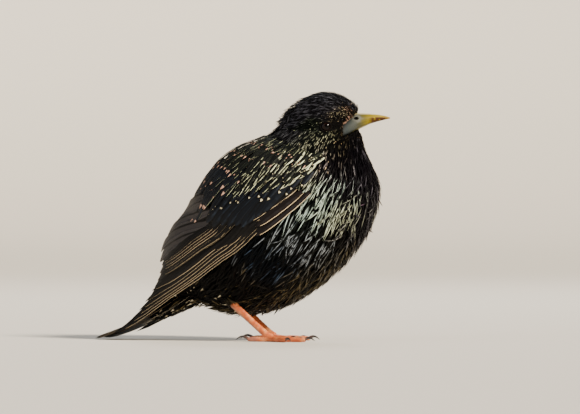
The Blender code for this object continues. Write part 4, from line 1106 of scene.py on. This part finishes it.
# Four rows of lesser coverts, whose outer edges carry a painted glint that is strongest towards the breast,
# and six of shoulder feathers, the scapulars, with fainter painted glints on their edges.
LESSER = 18
GLINT_SHARES = np.linspace(0.85, 0.22, LESSER)
LESSER_LOOKS = (
    COVERT_GREEN, MOSS_PAINTED_GLINT, GLINT_SHARES, CREAM_TIP, GLINT_SHARES * 0.1,
    FERN_GLOSS, np.linspace(0.5, 0.1, LESSER), 0.4,
)
SMALL_COVERT_ROWS = [
    (LESSER, roots, tips, ((0.7, 2.5), (0.9, 2.6)), NO_BOW, 2.3, POINTED_OUTLINE, 10.0, LESSER_LOOKS)
    for roots, tips in (
        (((0.9, 106), (1.8, 92.4), (2.3, 75.3), (3.1, 66.7)),
         ((2.0, 103), (3.1, 93.8), (3.7, 78.6), (4.3, 67.4))),
        (((0.6, 107), (1.4, 89.5), (1.9, 72.4), (2.6, 65.4)),
         ((1.6, 103), (2.6, 92.4), (3.2, 77.8), (3.9, 67.6))),
        (((0.3, 107), (1.0, 87.2), (1.4, 69.2), (2.0, 62.2)),
         ((1.3, 102), (2.2, 90.8), (2.8, 77.3), (3.4, 66.9))),
        (((0.0, 106), (0.5, 86.0), (1.0, 68.2), (1.6, 59.8)),
         ((0.9, 101), (1.7, 88.9), (2.3, 76.2), (2.9, 66.2))),
    )
] + [
    (count, ((u, d), (u + 0.4, 15)), ((u + reach, d + more), (u + reach + 0.3, 15 + more)),
     ((low, 2.6), (low * 0.5, high)), NO_BOW, width, POINTED_OUTLINE, 6.0,
     (ground, MOSS_PAINTED_GLINT, np.linspace(edge, edge / 12, count), ROSE_TIP, 0.16, sheen, share, 0.0))
    for u, d, reach, more, count, low, high, width, ground, edge, sheen, share in (
        (4.5, 50, 1.7, -1, 8, 1.2, 1.1, 4.2, COVERT_BLUE, 0.1, NAVY_GLOSS, 1.0),
        (3.6, 56, 1.7, -1, 10, 1.0, 1.0, 3.9, COVERT_BLUE, 0.12, NAVY_GLOSS, 1.0),
        (2.7, 62, 1.6, 1, 13, 0.8, 1.0, 3.4, COVERT_BLUE, 0.14, NAVY_GLOSS, 0.8),
        (1.8, 66, 1.5, 3, 17, 0.7, 1.0, 2.6, COVERT_GREEN, 0.24, FERN_GLOSS, 0.3),
        (0.9, 74, 1.3, 5, 24, 0.4, 0.9, 2.0, COVERT_GREEN, 0.38, FERN_GLOSS, 0.3),
        (0.1, 104, 1.1, 1, 38, -0.2, 0.7, 1.5, COVERT_GREEN, 0.4, FERN_GLOSS, 0.3),
    )
]
for word, side in SIDES:
    draw = np.random.default_rng(40 + side)
    quills = wing_piece("flight_feathers_" + word, FLIGHT_ROWS, QUILL_SECTION, VANE, draw, side)
    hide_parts("wing_" + word)
    wing_piece("great_coverts_" + word, GREAT_COVERT_ROWS, COVERT_SECTION, VANE, draw, side)
    wing_piece("small_coverts_" + word, SMALL_COVERT_ROWS, COVERT_SECTION, COVERT_VANE, draw, side)

# Tail. Twelve quills laid over one another on a line that bends down to the floor, the middle pair on
# top, with coverts above and below their roots: brown-black keratin with pale buff edges.
TAIL_ROOT = (-37.0, 27.6)
TAIL_SLOPES = (math.radians(38), math.radians(15))
TAIL_LENGTH = 61.0
TAIL_PAIRS = 6
TAIL_BLACK = "#1b1917"
TAIL_STEPS = 24


def on_tail(s, across, lift):
    """Places along the tail's line, aside from it and lifted off it, with the upward normals there."""
    first, last = TAIL_SLOPES
    steps = (np.arange(TAIL_STEPS) + 0.5) / TAIL_STEPS
    slopes = first + (last - first) * s[..., None] * steps / TAIL_LENGTH
    x = TAIL_ROOT[0] - np.cos(slopes).mean(-1) * s
    z = TAIL_ROOT[1] - np.sin(slopes).mean(-1) * s
    slope = first + (last - first) * s / TAIL_LENGTH
    up = np.stack((-np.sin(slope), np.zeros_like(slope), np.cos(slope)), -1)
    return np.stack((x, across, z), -1) + up * lift[..., None], up


def tail_row(start, ends, first_aside, last_aside, first_lift, last_lift, tilts):
    """Lines along the tail from start to ends, and the outward directions of vanes tilted sideways."""
    t = QUILL_SHARES[None]
    s = start + (ends - start)[:, None] * t
    across = first_aside[:, None] + (last_aside - first_aside)[:, None] * t
    lift = first_lift[:, None] + (last_lift - first_lift)[:, None] * t
    lines, up = on_tail(s, across, lift)
    lean = np.zeros_like(up)
    lean[..., 1] = (np.tan(tilts) * np.ones(len(ends)))[:, None]
    return lines, unit(up + lean)


def tail_piece(name, rows, draw, section):
    """One piece from rows of the tail's feathers, each with its width, outline and colours."""
    made = []
    for lines, facing, width, outline, colours in rows:
        ragged = 1 + draw.normal(0, 0.02, (len(lines), QUILL_STEPS))
        widths = width / 2 * np.interp(QUILL_SHARES, *outline) * ragged
        made.append((lines, facing, widths, looks(len(lines), draw, *colours, both=1.0)))
    return quill_piece(name, made, section, VANE)


draw = np.random.default_rng(61)
pairs = np.arange(TAIL_PAIRS)
rows = []
for _, side in SIDES:
    low = -0.34 * pairs + (0.17 if side > 0 else 0.0)
    ends = TAIL_LENGTH - 2.0 + 2.0 * np.sin(math.pi * pairs / (TAIL_PAIRS - 1))
    lines, facing = tail_row(
        6.0, ends, side * (0.8 + 0.9 * pairs), side * (2.4 + 0.98 * pairs),
        0.3 + 0.4 * low, 0.9 + low, math.radians(6) * side,
    )
    colours = (TAIL_BLACK, BUFF_EDGE, 0.12, SOOT, 0.0, FERN_GLOSS, 0.3)
    rows.append((lines, facing, 8.4, QUILL_OUTLINE, colours))
tail = tail_piece("tail_quills", rows, draw, QUILL_SECTION)
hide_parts("tail")
rows = []
for start, end, first_lift, last_lift, count, colours in (
    (8.0, 33, 2.2, 1.6, 4, (GREEN_BLACK, BUFF_EDGE, 0.12, FAWN_TIP, 0.05, FERN_GLOSS, 0.7)),
    (2.0, 24, 3.4, 2.6, 5, (GREEN_BLACK, BUFF_EDGE, 0.12, FAWN_TIP, 0.06, FERN_GLOSS, 0.7)),
    (6.0, 36, -3.0, -2.4, 4, (SOOT, WHITE_TIP, 0.2, WHITE_TIP, 0.06, OLIVE_GLOSS, 0.2)),
    (1.0, 27, -4.0, -3.2, 5, (SOOT, WHITE_TIP, 0.2, WHITE_TIP, 0.08, OLIVE_GLOSS, 0.2)),
):
    off = np.arange(count) - (count - 1) / 2
    outward = np.sign(first_lift)
    sunk = outward * 0.25 * np.abs(off)
    lines, facing = tail_row(
        start, end - 1.2 * np.abs(off), off * 2.6, off * 3.2, first_lift - sunk, last_lift - sunk, 0.1 * off
    )
    rows.append((lines, facing * outward, 6.0, ROUND_OUTLINE, colours))
tail_piece("tail_coverts", rows, draw, COVERT_SECTION)

# Eyes. Each is a ball that shows a black pupil in a dark brown iris through a clear wet cornea, and sits
# in a ring of bare skin with a beaded edge. The lamps draw small sharp lights on it.
EYE_RADIUS = 3.2
LID_REACH = 3.6
LID_RADIUS = 0.32
LID_BEADS = 26
LID_BEADING = 0.1
LID_OPENING = (math.radians(48), math.radians(40))  # half the opening, fore and aft and up and down
LID_STEPS = 104
LID_SIDES = 8
EYE_LOOK = (0.25, 1.0, 0.02)  # the way the eye looks, in the head's own frame
iris, iris_shader = new_material("wet_cornea_and_iris", Roughness=0.03, IOR=1.38, Specular_IOR_Level=0.22)
off_axis = add_node(iris, "Attribute", attribute_name="off_axis")
ring = add_node(iris, "ValToRGB", [("Fac", off_axis.outputs["Fac"])], stops=(
    (0.0, "#020202"), (0.27, "#030202"), (0.31, "#1b0e09"), (0.42, "#120a06"), (0.52, "#040303"),
))
connect(iris, ring.outputs["Color"], iris_shader.inputs["Base Color"])
lid_skin, _ = new_material(
    "bare_lid_skin", Base_Color=linear("#0a0808"), Roughness=0.7, IOR=1.4, Specular_IOR_Level=0.1
)
for word, side in SIDES:
    centre = EYE * (1, side, 1)
    middle = placed(turned(centre))
    bm = bmesh.new()
    bmesh.ops.create_uvsphere(bm, u_segments=48, v_segments=32, radius=EYE_RADIUS * MM)
    for vert in bm.verts:
        vert.co += Vector(middle)
    eye = object_from(bm, "eyeball_" + word)
    axis = unit(turned(centre + np.array(EYE_LOOK) * (1, side, 1)) - turned(centre))
    out = (np.array([v.co for v in eye.data.vertices]) - middle) / (EYE_RADIUS * MM)
    store(eye.data, "off_axis", np.degrees(np.arccos(np.clip(out @ axis, -1, 1))) / 90)
    eye.data.materials.append(iris)
    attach(eye, "root")
    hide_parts("eye_" + word)

    turns = np.linspace(0, 2 * math.pi, LID_STEPS, endpoint=False)
    reach = LID_OPENING[0] * np.cos(turns) ** 2 + LID_OPENING[1] * np.sin(turns) ** 2
    out = np.stack((np.sin(reach) * np.cos(turns), side * np.cos(reach), np.sin(reach) * np.sin(turns)), -1)
    line = out * LID_REACH + centre
    beside = np.cross(unit(np.roll(line, -1, 0) - np.roll(line, 1, 0)), out)
    beads = LID_RADIUS * (1 + LID_BEADING * np.cos(turns * LID_BEADS))[:, None, None]
    a = np.linspace(0, 2 * math.pi, LID_SIDES, endpoint=False)[None, :, None]
    bm = bmesh.new()
    loft(bm, turned(line[:, None] + beads * (out[:, None] * np.cos(a) + beside[:, None] * np.sin(a))), True)
    lid = object_from(bm, "eyelid_" + word)
    lid.data.materials.append(lid_skin)
    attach(lid, "root")

# Bill. Two halves of horn that meet on the line of the mouth: yellow, with a pale painted highlight along the
# ridge, blue-grey round the nostrils at its base, and a brown stain by the tip. The surface is smooth and a
# little worn.
BILL_STEPS = 22
BILL_ARC = 17
LOWER_TUCKED = 0.25  # how far the lower half reaches up inside the upper
LOWER_NARROWER = 0.96
LOWER_ROUNDNESS = 0.6
NOSTRIL = np.array((47.6, 4.4, 111.0))
NOSTRIL_RADII = (1.4, 1.5, 0.8)
RIM_RADIUS = 1.3  # of the paler ring round a nostril
RIM_WIDTH = 0.8
HORN_WEAR = 2.4
STAIN_SIZE = 1.3


def bill_half(name, upper):
    """One half of the bill, lofted along the head."""
    shares = np.linspace(0, 1, BILL_STEPS) ** 0.9
    x = np.interp(shares, np.linspace(0, 1, len(BILL_SECTIONS)), BILL_SECTIONS[:, 0])
    level, half = bill_at(x)[1::2]
    if not upper:
        level = level + LOWER_TUCKED * (1 - smooth((x - x[0]) / (x[-1] - x[0])))
        half = half * LOWER_NARROWER
    height = bill_at(x)[0 if upper else 2] - level
    a = math.pi * (np.arange(BILL_ARC) / (BILL_ARC - 1) - 0.5)
    across = half[:, None] * np.sin(a) * np.cos(a * 0.2)
    roundness = UPPER_ROUNDNESS if upper else LOWER_ROUNDNESS
    up = level[:, None] + height[:, None] * np.abs(np.cos(a)) ** roundness
    bm = bmesh.new()
    loft(bm, turned(np.stack((np.repeat(x[:, None], BILL_ARC, 1), across, up), -1)))
    return object_from(bm, name)


horn, horn_shader = new_material("yellow_bill_horn", Roughness=0.38, IOR=1.5, Specular_IOR_Level=0.12)
run = add_node(horn, "Attribute", attribute_name="along")
rise = add_node(horn, "Attribute", attribute_name="rise")
place = add_node(horn, "TexCoord")
worn = add_node(
    horn, "TexNoise", [("Vector", place.outputs["Object"])], Scale=1 / (HORN_WEAR * MM), Detail=6.0
)
uneven = add_node(horn, "Math", [(0, worn.outputs["Fac"])], operation="MULTIPLY_ADD", in1=0.14, in2=-0.07)
course = add_node(horn, "Math", [(0, run.outputs["Fac"]), (1, uneven.outputs[0])], operation="ADD")
length = add_node(horn, "ValToRGB", [("Fac", course.outputs[0])], stops=(
    (0.0, "#38393a"), (0.1, "#3b4244"), (0.28, "#414540"), (0.38, "#45452f"),
    (0.5, "#6a5f1a"), (0.6, "#7f6f0f"), (0.8, "#94800c"), (1.0, "#8a6713"),
))
ridge, edge, low = (
    add_node(
        horn, "MapRange", [("Value", rise.outputs["Fac"])],
        interpolation_type="SMOOTHSTEP", From_Min=start, From_Max=end,
    )
    for start, end in ((0.78, 0.98), (-0.62, -0.95), (0.55, 0.25))
)
blotch = add_node(
    horn, "TexNoise", [("Vector", place.outputs["Object"])], Scale=1 / (STAIN_SIZE * MM), Detail=3.0
)
spots = add_node(horn, "MapRange", [("Value", blotch.outputs["Fac"])], From_Min=0.32, From_Max=0.46)
near_tip = add_node(horn, "ValToRGB", [("Fac", run.outputs["Fac"])], stops=(
    (0.54, "#000000"), (0.64, "#ffffff"), (0.9, "#ffffff"), (0.97, "#000000"),
))
stain = add_node(horn, "Math", [(0, spots.outputs[0]), (1, near_tip.outputs["Color"])], operation="MULTIPLY")
stain = add_node(horn, "Math", [(0, stain.outputs[0]), (1, low.outputs[0])], operation="MULTIPLY")
rim = add_node(horn, "Attribute", attribute_name="rim")
# Over the length's colours lie a pale painted highlight along the ridge, the rims of the nostrils, the lower
# edge and the stain.
colour = length.outputs["Color"]
for share, shade in (
    (ridge.outputs[0], "#beb284"), (rim.outputs["Fac"], "#62645f"),
    (edge.outputs[0], "#857a3a"), (stain.outputs[0], "#40240c"),
):
    mixed = add_node(horn, "Mix", [(0, share), (6, colour)], data_type="RGBA", in7=linear(shade))
    colour = mixed.outputs[2]
connect(horn, colour, horn_shader.inputs["Base Color"])
grain = add_node(horn, "Bump", [("Height", worn.outputs["Fac"])], Strength=0.25, Distance=0.1 * MM)
connect(horn, grain.outputs[0], horn_shader.inputs["Normal"])
for name, upper, node in (("upper_bill_horn", True, "upper_bill"), ("lower_bill_horn", False, "lower_bill")):
    piece = bill_half(name, upper)
    if upper:
        bm = bmesh.new()
        for _, side in SIDES:
            verts = bmesh.ops.create_uvsphere(bm, u_segments=16, v_segments=10, radius=1.0)["verts"]
            for vert in verts:
                vert.co = placed(turned(np.array(vert.co) * NOSTRIL_RADII + NOSTRIL * (1, side, 1)))
        pits = object_from(bm, "nostril_pits")
        cut = piece.modifiers.new("nostrils", "BOOLEAN")
        cut.operation = "DIFFERENCE"
        cut.object = pits
        cut.solver = "EXACT"
        apply_modifiers(piece)
        bpy.data.objects.remove(pits)
    co = unturned(in_mm(piece.data))
    from_nostril = np.hypot((co[:, 0] - NOSTRIL[0] - 0.5) / 1.3, co[:, 2] - NOSTRIL[2])
    first, last = BILL_SECTIONS[0, 0], BILL_SECTIONS[-1, 0]
    store(piece.data, "along", (co[:, 0] - first) / (last - first))
    store(piece.data, "rise", up_the_bill(co))
    ringed = smooth(1 - np.abs(from_nostril - RIM_RADIUS) / RIM_WIDTH)
    store(piece.data, "rim", ringed * (np.abs(co[:, 1]) > 1))
    piece.data.shade_smooth()
    piece.data.set_sharp_from_angle(angle=math.radians(45))
    piece.data.materials.append(horn)
    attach(piece, "root")
    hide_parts(node)

# Legs. Bare tarsi and toes in orange-pink skin, with overlapping scutes down the front and along the
# tops of the toes and fine round scales behind. The toes lie flat, on soft pads.
TARSUS = ((-14.0, 14.4, 20.0), (-11.5, 14.2, 17.2), (-2.0, 13.4, 8.8), (4.2, 12.8, 3.6), (6.6, 12.6, 2.0))
TARSUS_RADII = (2.2, 1.8, 1.6, 1.8, 2.0)
TARSUS_FLAT = 0.75
TOE_ROOT = (6.0, 12.6)
TOES = {  # heading in degrees, length of the toe, length of its claw
    "inner": (-24, 13.5, 5.5), "middle": (3, 19.5, 6.5), "outer": (34, 14.5, 5.5), "hind": (177, 11.5, 8.0),
}
TOE_RADIUS = 1.3
TOE_HEIGHT = 1.15
TOE_SHARES = (0.0, 0.25, 0.45, 0.58, 0.8, 1.0)
TOE_SWELLS = (1.35, 1.0, 0.9, 1.05, 0.95, 0.72)
SCUTE = 2.1  # length of a scute on the tarsus
TOE_SCUTE = 1.15
SCUTE_STEP = 0.2  # how far a scute's lower edge stands proud
LIMB_SIDES = 20
LEG_VOXEL = 0.2
LEG_FRONT = np.array((0.7, 0.0, 0.7))
UPWARD = np.array((0.0, 0.0, 1.0))
SCALE_SIZE = 0.6
TONE_SIZE = 3.5


def scaled_limb(bm, path, radii, flat, scute, upside):
    """A tube with overlapping scutes on the side that upside points to."""
    lengths = np.append(0, np.cumsum(np.linalg.norm(np.diff(path, axis=0), axis=1)))
    count = int(lengths[-1] / scute * 5)
    spots = np.linspace(0, lengths[-1], count)
    course = between(spots, lengths, path)
    for _ in range(3):
        course[1:-1] = (course[:-2] + course[1:-1] * 2 + course[2:]) / 4
    girth = np.interp(spots, lengths, radii)
    along = unit(np.gradient(course, axis=0))
    front = unit(upside - along * (along @ upside)[:, None])
    across = np.cross(along, front)
    a = np.linspace(0, 2 * math.pi, LIMB_SIDES, endpoint=False)[None, :, None]
    saw = (spots / scute) % 1.0
    proud = SCUTE_STEP * (saw**1.5)[:, None, None] * smooth((np.cos(a) + 0.15) / 0.6)
    pads = 0.05 * np.cos(spots * 2.6)[:, None, None] * smooth((-np.cos(a) - 0.2) / 0.6)
    spread_by = girth[:, None, None] + proud + pads
    rings = course[:, None] + spread_by * (front[:, None] * np.cos(a) + across[:, None] * flat * np.sin(a))
    loft(bm, rings)


def toe_root_and_way(kind, side):
    """Where a toe starts on the floor, and which way it points."""
    heading = math.radians(TOES[kind][0])
    root = np.array((TOE_ROOT[0] - LEG_SETBACK[side], side * TOE_ROOT[1], 0))
    return root, np.array((math.cos(heading), side * math.sin(heading), 0))


def toe_path(root, way, runs, heights):
    """Places along a toe from its root, so far forward and so high."""
    return root + way * runs[:, None] + UPWARD * heights[:, None]


# Thin skin that lets a little light pass, with darker seams between its scales. Its tone is mottled at
# random between a painted crease shade at its darkest and a painted cream highlight at its palest.
leg_skin, leg_shader = new_material(
    "orange_pink_leg_skin", Roughness=0.42, IOR=1.45, Specular_IOR_Level=0.3,
    Subsurface_Weight=0.12, Subsurface_Radius=(0.002, 0.0008, 0.0005), Subsurface_Scale=0.5,
)
place = add_node(leg_skin, "TexCoord")
scales = add_node(
    leg_skin, "TexVoronoi", [("Vector", place.outputs["Object"])],
    feature="DISTANCE_TO_EDGE", Scale=1 / (SCALE_SIZE * MM),
)
cracks = add_node(leg_skin, "MapRange", [("Value", scales.outputs["Distance"])], From_Max=0.08)
counted = add_node(leg_skin, "Attribute", attribute_name="scutes")
seam = add_node(leg_skin, "Math", [(0, counted.outputs["Fac"])], operation="PINGPONG", in1=0.5)
seam = add_node(
    leg_skin, "MapRange", [("Value", seam.outputs[0])], interpolation_type="SMOOTHSTEP", From_Max=0.09
)
front = add_node(leg_skin, "Attribute", attribute_name="front")
cracks = add_node(leg_skin, "Mix", [(0, front.outputs["Fac"]), (2, cracks.outputs[0]), (3, seam.outputs[0])])
tone = add_node(
    leg_skin, "TexNoise", [("Vector", place.outputs["Object"])], Scale=1 / (TONE_SIZE * MM), Detail=5.0
)
tone_with_painted_light = add_node(leg_skin, "ValToRGB", [("Fac", tone.outputs["Fac"])], stops=(
    (0.0, "#200e08"), (0.3, "#a64a28"), (0.5, "#cc6c3c"), (0.66, "#de935f"), (1.0, "#f4d6b4"),
))
lined = add_node(
    leg_skin, "Mix", [(0, cracks.outputs[0]), (7, tone_with_painted_light.outputs["Color"])],
    data_type="RGBA", in6=linear("#96543f"),
)
# Painted shade: the backs of the tarsi and the hind toes are greyed.
dusky = add_node(leg_skin, "Attribute", attribute_name="dusky")
greyed = add_node(
    leg_skin, "Mix", [(0, dusky.outputs["Fac"]), (6, lined.outputs[2])],
    data_type="RGBA", in7=linear("#8d6f66"),
)
connect(leg_skin, greyed.outputs[2], leg_shader.inputs["Base Color"])
leg_bump = add_node(leg_skin, "Bump", [("Height", cracks.outputs[0])], Strength=0.35, Distance=0.08 * MM)
connect(leg_skin, leg_bump.outputs[0], leg_shader.inputs["Normal"])
for word, side in SIDES:
    bm = bmesh.new()
    scaled_limb(bm, leg_points(TARSUS, side), TARSUS_RADII, TARSUS_FLAT, SCUTE, LEG_FRONT)
    for kind, (_, length, _) in TOES.items():
        root, way = toe_root_and_way(kind, side)
        shares = np.array(TOE_SHARES)
        heights = TOE_HEIGHT + 0.5 * np.maximum(0, 1 - 3 * shares)
        path = toe_path(root, way, length * shares, heights)
        scaled_limb(bm, path, TOE_RADIUS * np.array(TOE_SWELLS), 1.0, TOE_SCUTE, UPWARD)
    leg = object_from(bm, "leg_" + word)
    melt(leg, LEG_VOXEL, 3)
    co = np.array([v.co for v in leg.data.vertices])
    co[:, 2] = np.maximum(co[:, 2], 0.0)
    leg.data.vertices.foreach_set("co", co.astype(np.float32).ravel())
    leg.data.update()
    mm = in_mm(leg.data)
    path = leg_points(TARSUS, side)
    axis = np.interp(mm[:, 2], path[::-1, 2], path[::-1, 0])
    # Painted shade on the back of the tarsus, and along the hind toe.
    shank = smooth((mm[:, 2] - 3) / 2)
    dusky = 0.6 * shank * smooth((axis - mm[:, 0] - 0.3) / 1.2)
    root, way = toe_root_and_way("hind", side)
    dusky = dusky + (1 - shank) * 0.6 * smooth(((mm - root) @ way - 4.0) / 4.0)
    normals = np.array([v.normal for v in leg.data.vertices])
    down = unit(path[-1] - path[0])
    scutes = (mm - path[0]) @ down / SCUTE
    front = smooth((normals @ unit(LEG_FRONT) + 0.1) / 0.4)
    nearest = np.full(len(mm), 3.0)
    for kind in TOES:
        root, way = toe_root_and_way(kind, side)
        run = (mm - root) @ way
        off = np.linalg.norm((mm - root - run[:, None] * way)[:, :2], axis=1)
        closer = (off < nearest) & (run > 0.8) & (mm[:, 2] < 3.0)
        nearest = np.where(closer, off, nearest)
        scutes = np.where(closer, run / TOE_SCUTE, scutes)
        front = np.where(closer, smooth((normals[:, 2] - 0.1) / 0.4), front)
    for label, values in (("dusky", dusky), ("scutes", scutes), ("front", front)):
        store(leg.data, label, values)
    leg.data.materials.append(leg_skin)
    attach(leg, "root")
    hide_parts("tarsus_" + word, "foot_" + word)

# Claws. Curved points of horn that sheathe the ends of the toes, dark grey, smooth and a little glossy,
# brownish where they grow out of the skin and worn paler at the tips.
CLAW_RADIUS = 0.8
CLAW_STEPS = 14
CLAW_SIDES = 12
CLAW_NARROW = 0.72  # width against height
CLAW_SUNK = 0.6
CLAW_SPAN = 0.9  # how far a claw reaches forward, of its length
claw_horn, claw_shader = new_material("dark_claw_horn", Roughness=0.3, IOR=1.55)
grow = add_node(claw_horn, "Attribute", attribute_name="along")
shades = add_node(claw_horn, "ValToRGB", [("Fac", grow.outputs["Fac"])], stops=(
    (0.05, "#5a4038"), (0.3, "#2c2422"), (0.8, "#1f1b1b"), (1.0, "#3b3432"),
))
connect(claw_horn, shades.outputs["Color"], claw_shader.inputs["Base Color"])
for word, side in SIDES:
    for kind, (_, length, reach) in TOES.items():
        root, way = toe_root_and_way(kind, side)
        t = np.linspace(0, 1, CLAW_STEPS)
        heights = TOE_HEIGHT + 0.22 * reach * np.sin(math.pi * t * 0.9) - 1.0 * t**1.5
        path = toe_path(root, way, length - CLAW_SUNK + CLAW_SPAN * reach * t, heights)
        radii = CLAW_RADIUS * (1 - t) ** 0.75 + 0.08
        bm = bmesh.new()
        loft(bm, tube_rings(path, radii, CLAW_SIDES, CLAW_NARROW))
        claw = object_from(bm, "claw_horn_" + kind + "_" + word)
        store(claw.data, "along", ((in_mm(claw.data) - root) @ way - length) / (CLAW_SPAN * reach))
        claw.data.materials.append(claw_horn)
        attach(claw, "root")
        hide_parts("claw_" + kind + "_" + word)

# Thigh feathers. Short soft feathers, olive-black like those of the belly, that are rooted in the skin of
# the thigh, flow down it and end ragged over the top of the tarsus.
THIGH_ROWS = 15
THIGH_AROUND = 46
THIGH_LENGTHS = (7.0, 6.4)  # of the feathers at the top and at the bottom
THIGH_HALF_WIDTHS = (0.5, 0.75)


def leg_unwrap(angle, side, level):
    """Places on the bake's map for feathers of the leg, by the angle and the level that they root at."""
    return np.stack((0.1 + angle * 0.06 + (0.45 if side > 0 else 0), level), -1)


for word, side in SIDES:
    draw = np.random.default_rng(80 + side)
    path = leg_points(THIGH, side)
    marks = range(len(THIGH))
    u = np.repeat(np.linspace(0, 2.75, THIGH_ROWS), THIGH_AROUND)
    angle = draw.uniform(0, 2 * math.pi, len(u))
    u = np.clip(u + draw.uniform(-0.1, 0.1, len(u)), 0, 2.9)
    middles = between(u, marks, path)
    ways = unit(between(u + 0.15, marks, path) - middles)
    girth = np.interp(u, marks, THIGH_RADII) + 1.0
    upright = unit(np.cross(ways, (0, 1, 0)))
    beyond = np.array((0, 1, 0)) * np.cos(angle)[:, None] + upright * np.sin(angle)[:, None]
    roots, _, away = on_skin(middles + girth[:, None] * beyond)
    near = away < 2.0
    roots, ways, u, angle = roots[near], ways[near], u[near], angle[near]
    count = len(roots)
    lengths = draw.uniform(0.8, 1.2, count) * np.interp(u, (0, 3), THIGH_LENGTHS)
    lines, normals = laid(roots, ways, lengths, draw.normal(0, 0.03, (count, 3)))
    heights = -0.3 + (0.9 + np.abs(draw.normal(0, 0.4, count)))[:, None] * PLUME_SHARES[None]
    lines = lines + normals * heights[..., None]
    facing = rolled(lines, normals, draw.normal(0, 0.3, count))
    even = np.ones(count)
    attributes = {
        "ground": tinted(OLIVE_BLACK, draw.uniform(0.7, 1.3, count), 1.0),
        "gloss": tinted(OLIVE_GLOSS, even, draw.uniform(0.1, 0.7, count)),
        "tip": tinted(WHITE_TIP, even, 0.0),
    }
    half_widths = draw.uniform(*THIGH_HALF_WIDTHS, count)
    corners = leg_unwrap(angle, side, 0.05 + u * 0.25)
    plume_piece("thigh_feathers_" + word, lines, facing, half_widths, attributes, corners)

# Hock feathers. A ruff of the same feathers, shorter and narrower, that hides the joint between the thigh
# and the bare tarsus. They are rooted round the joint and point down the leg.
HOCK_FEATHERS = 110
HOCK_STARTS = (-3.6, -0.8)  # along the tarsus from its top
HOCK_GIRTHS = (1.9, 2.5)
HOCK_LENGTHS = (3.0, 4.6)
HOCK_FLARE = 0.5
HOCK_HALF_WIDTHS = (0.4, 0.6)
for word, side in SIDES:
    draw = np.random.default_rng(90 + side)
    top, lower = leg_points(TARSUS, side)[:2]
    way = unit(lower - top)
    angle = draw.uniform(0, 2 * math.pi, HOCK_FEATHERS)
    outward = np.cos(angle)[:, None] * np.array((0, 1, 0)) + np.sin(angle)[:, None] * np.cross(way, (0, 1, 0))
    starts = top + way * draw.uniform(*HOCK_STARTS, (HOCK_FEATHERS, 1))
    starts = starts + outward * draw.uniform(*HOCK_GIRTHS, (HOCK_FEATHERS, 1))
    lengths = draw.uniform(*HOCK_LENGTHS, (HOCK_FEATHERS, 1, 1))
    lines = starts[:, None] + (way * lengths + outward[:, None] * HOCK_FLARE) * PLUME_SHARES[None, :, None]
    normals = np.repeat(outward[:, None], PLUME_STEPS, 1)
    even = np.ones(HOCK_FEATHERS)
    attributes = {
        "ground": tinted(OLIVE_BLACK, draw.uniform(0.7, 1.3, HOCK_FEATHERS), 1.0),
        "gloss": tinted(OLIVE_GLOSS, even, 0.3),
        "tip": tinted(WHITE_TIP, even, 0.0),
    }
    half_widths = draw.uniform(*HOCK_HALF_WIDTHS, HOCK_FEATHERS)
    corners = leg_unwrap(angle, side, np.full(HOCK_FEATHERS, 0.9))
    plume_piece("hock_feathers_" + word, lines, normals, half_widths, attributes, corners)

# Floor, light and camera. A plain pale floor that curves up far away, under soft studio lamps, seen
# level with the bird through a long lens, from in front of its right side, as in the photograph.
VIEW_TURN = math.radians(22)
RIGHTWARD = np.array((math.cos(VIEW_TURN), math.sin(VIEW_TURN), 0.0))
TOWARD_CAMERA = np.array((math.sin(VIEW_TURN), -math.cos(VIEW_TURN), 0.0))
FRAME_WIDTH = 290.0  # how much the photograph takes in at the bird, in millimetres
FRAME_CENTRE = RIGHTWARD * 12.5 + UPWARD * 67.0
LENS = 300.0

camera = put("camera", bpy.data.cameras.new("camera"))
camera.data.lens = LENS
camera.data.clip_end = 50.0
distance = FRAME_WIDTH * LENS / camera.data.sensor_width
camera.location = placed(FRAME_CENTRE + TOWARD_CAMERA * distance)
camera.rotation_euler = (math.pi / 2, 0.0, VIEW_TURN)
bpy.context.scene.camera = camera

FLOOR_RADIUS = 6.0
COVE = ((6.6, 0.03), (7.2, 0.13), (7.8, 0.35), (8.3, 0.75), (8.6, 1.3))  # radius and height, in metres
bm = bmesh.new()
bmesh.ops.create_circle(bm, cap_ends=True, segments=128, radius=FLOOR_RADIUS)
edges = list(bm.edges)
before = FLOOR_RADIUS
for radius, height in COVE:
    made = bmesh.ops.extrude_edge_only(bm, edges=edges)["geom"]
    verts = [part for part in made if isinstance(part, bmesh.types.BMVert)]
    edges = [part for part in made if isinstance(part, bmesh.types.BMEdge)]
    bmesh.ops.scale(bm, vec=(radius / before, radius / before, 1), verts=verts)
    for vert in verts:
        vert.co.z = height
    before = radius
floor = object_from(bm, "floor")
# Plain matt paper, with no shine of its own.
paper, _ = new_material("matt_paper", Roughness=0.9, Base_Color=linear("#e4e0d8"))
floor.data.materials.append(paper)


def lamp(name, kind, rightward, toward, upward, size, power, colour):
    """A lamp that shines on the bird, its place in metres from it as the camera sees it."""
    data = bpy.data.lights.new(name, kind)
    setattr(data, "angle" if kind == "SUN" else "size", size)
    data.energy = power
    data.color = linear(colour)[:3]
    made = put(name, data)
    offset = RIGHTWARD * rightward + TOWARD_CAMERA * toward + UPWARD * upward
    made.location = placed(FRAME_CENTRE) + offset
    made.rotation_euler = Vector(-offset).to_track_quat("-Z", "Y").to_euler()


lamp("key_lamp", "SUN", 1.05, 1.0, 0.95, math.radians(10), 8.0, "#fff1dc")
lamp("fill_lamp", "AREA", -1.3, 1.0, 0.9, 1.4, 7.0, "#e4eeff")
lamp("rim_lamp", "AREA", 0.3, -1.3, 1.3, 0.8, 12.0, "#ffffff")
world = bpy.data.worlds.new("studio")
world.use_nodes = True
wall = world.node_tree.nodes["Background"]
wall.inputs["Strength"].default_value = 0.34
wall.inputs["Color"].default_value = linear("#d2cec5")
bpy.context.scene.world = world
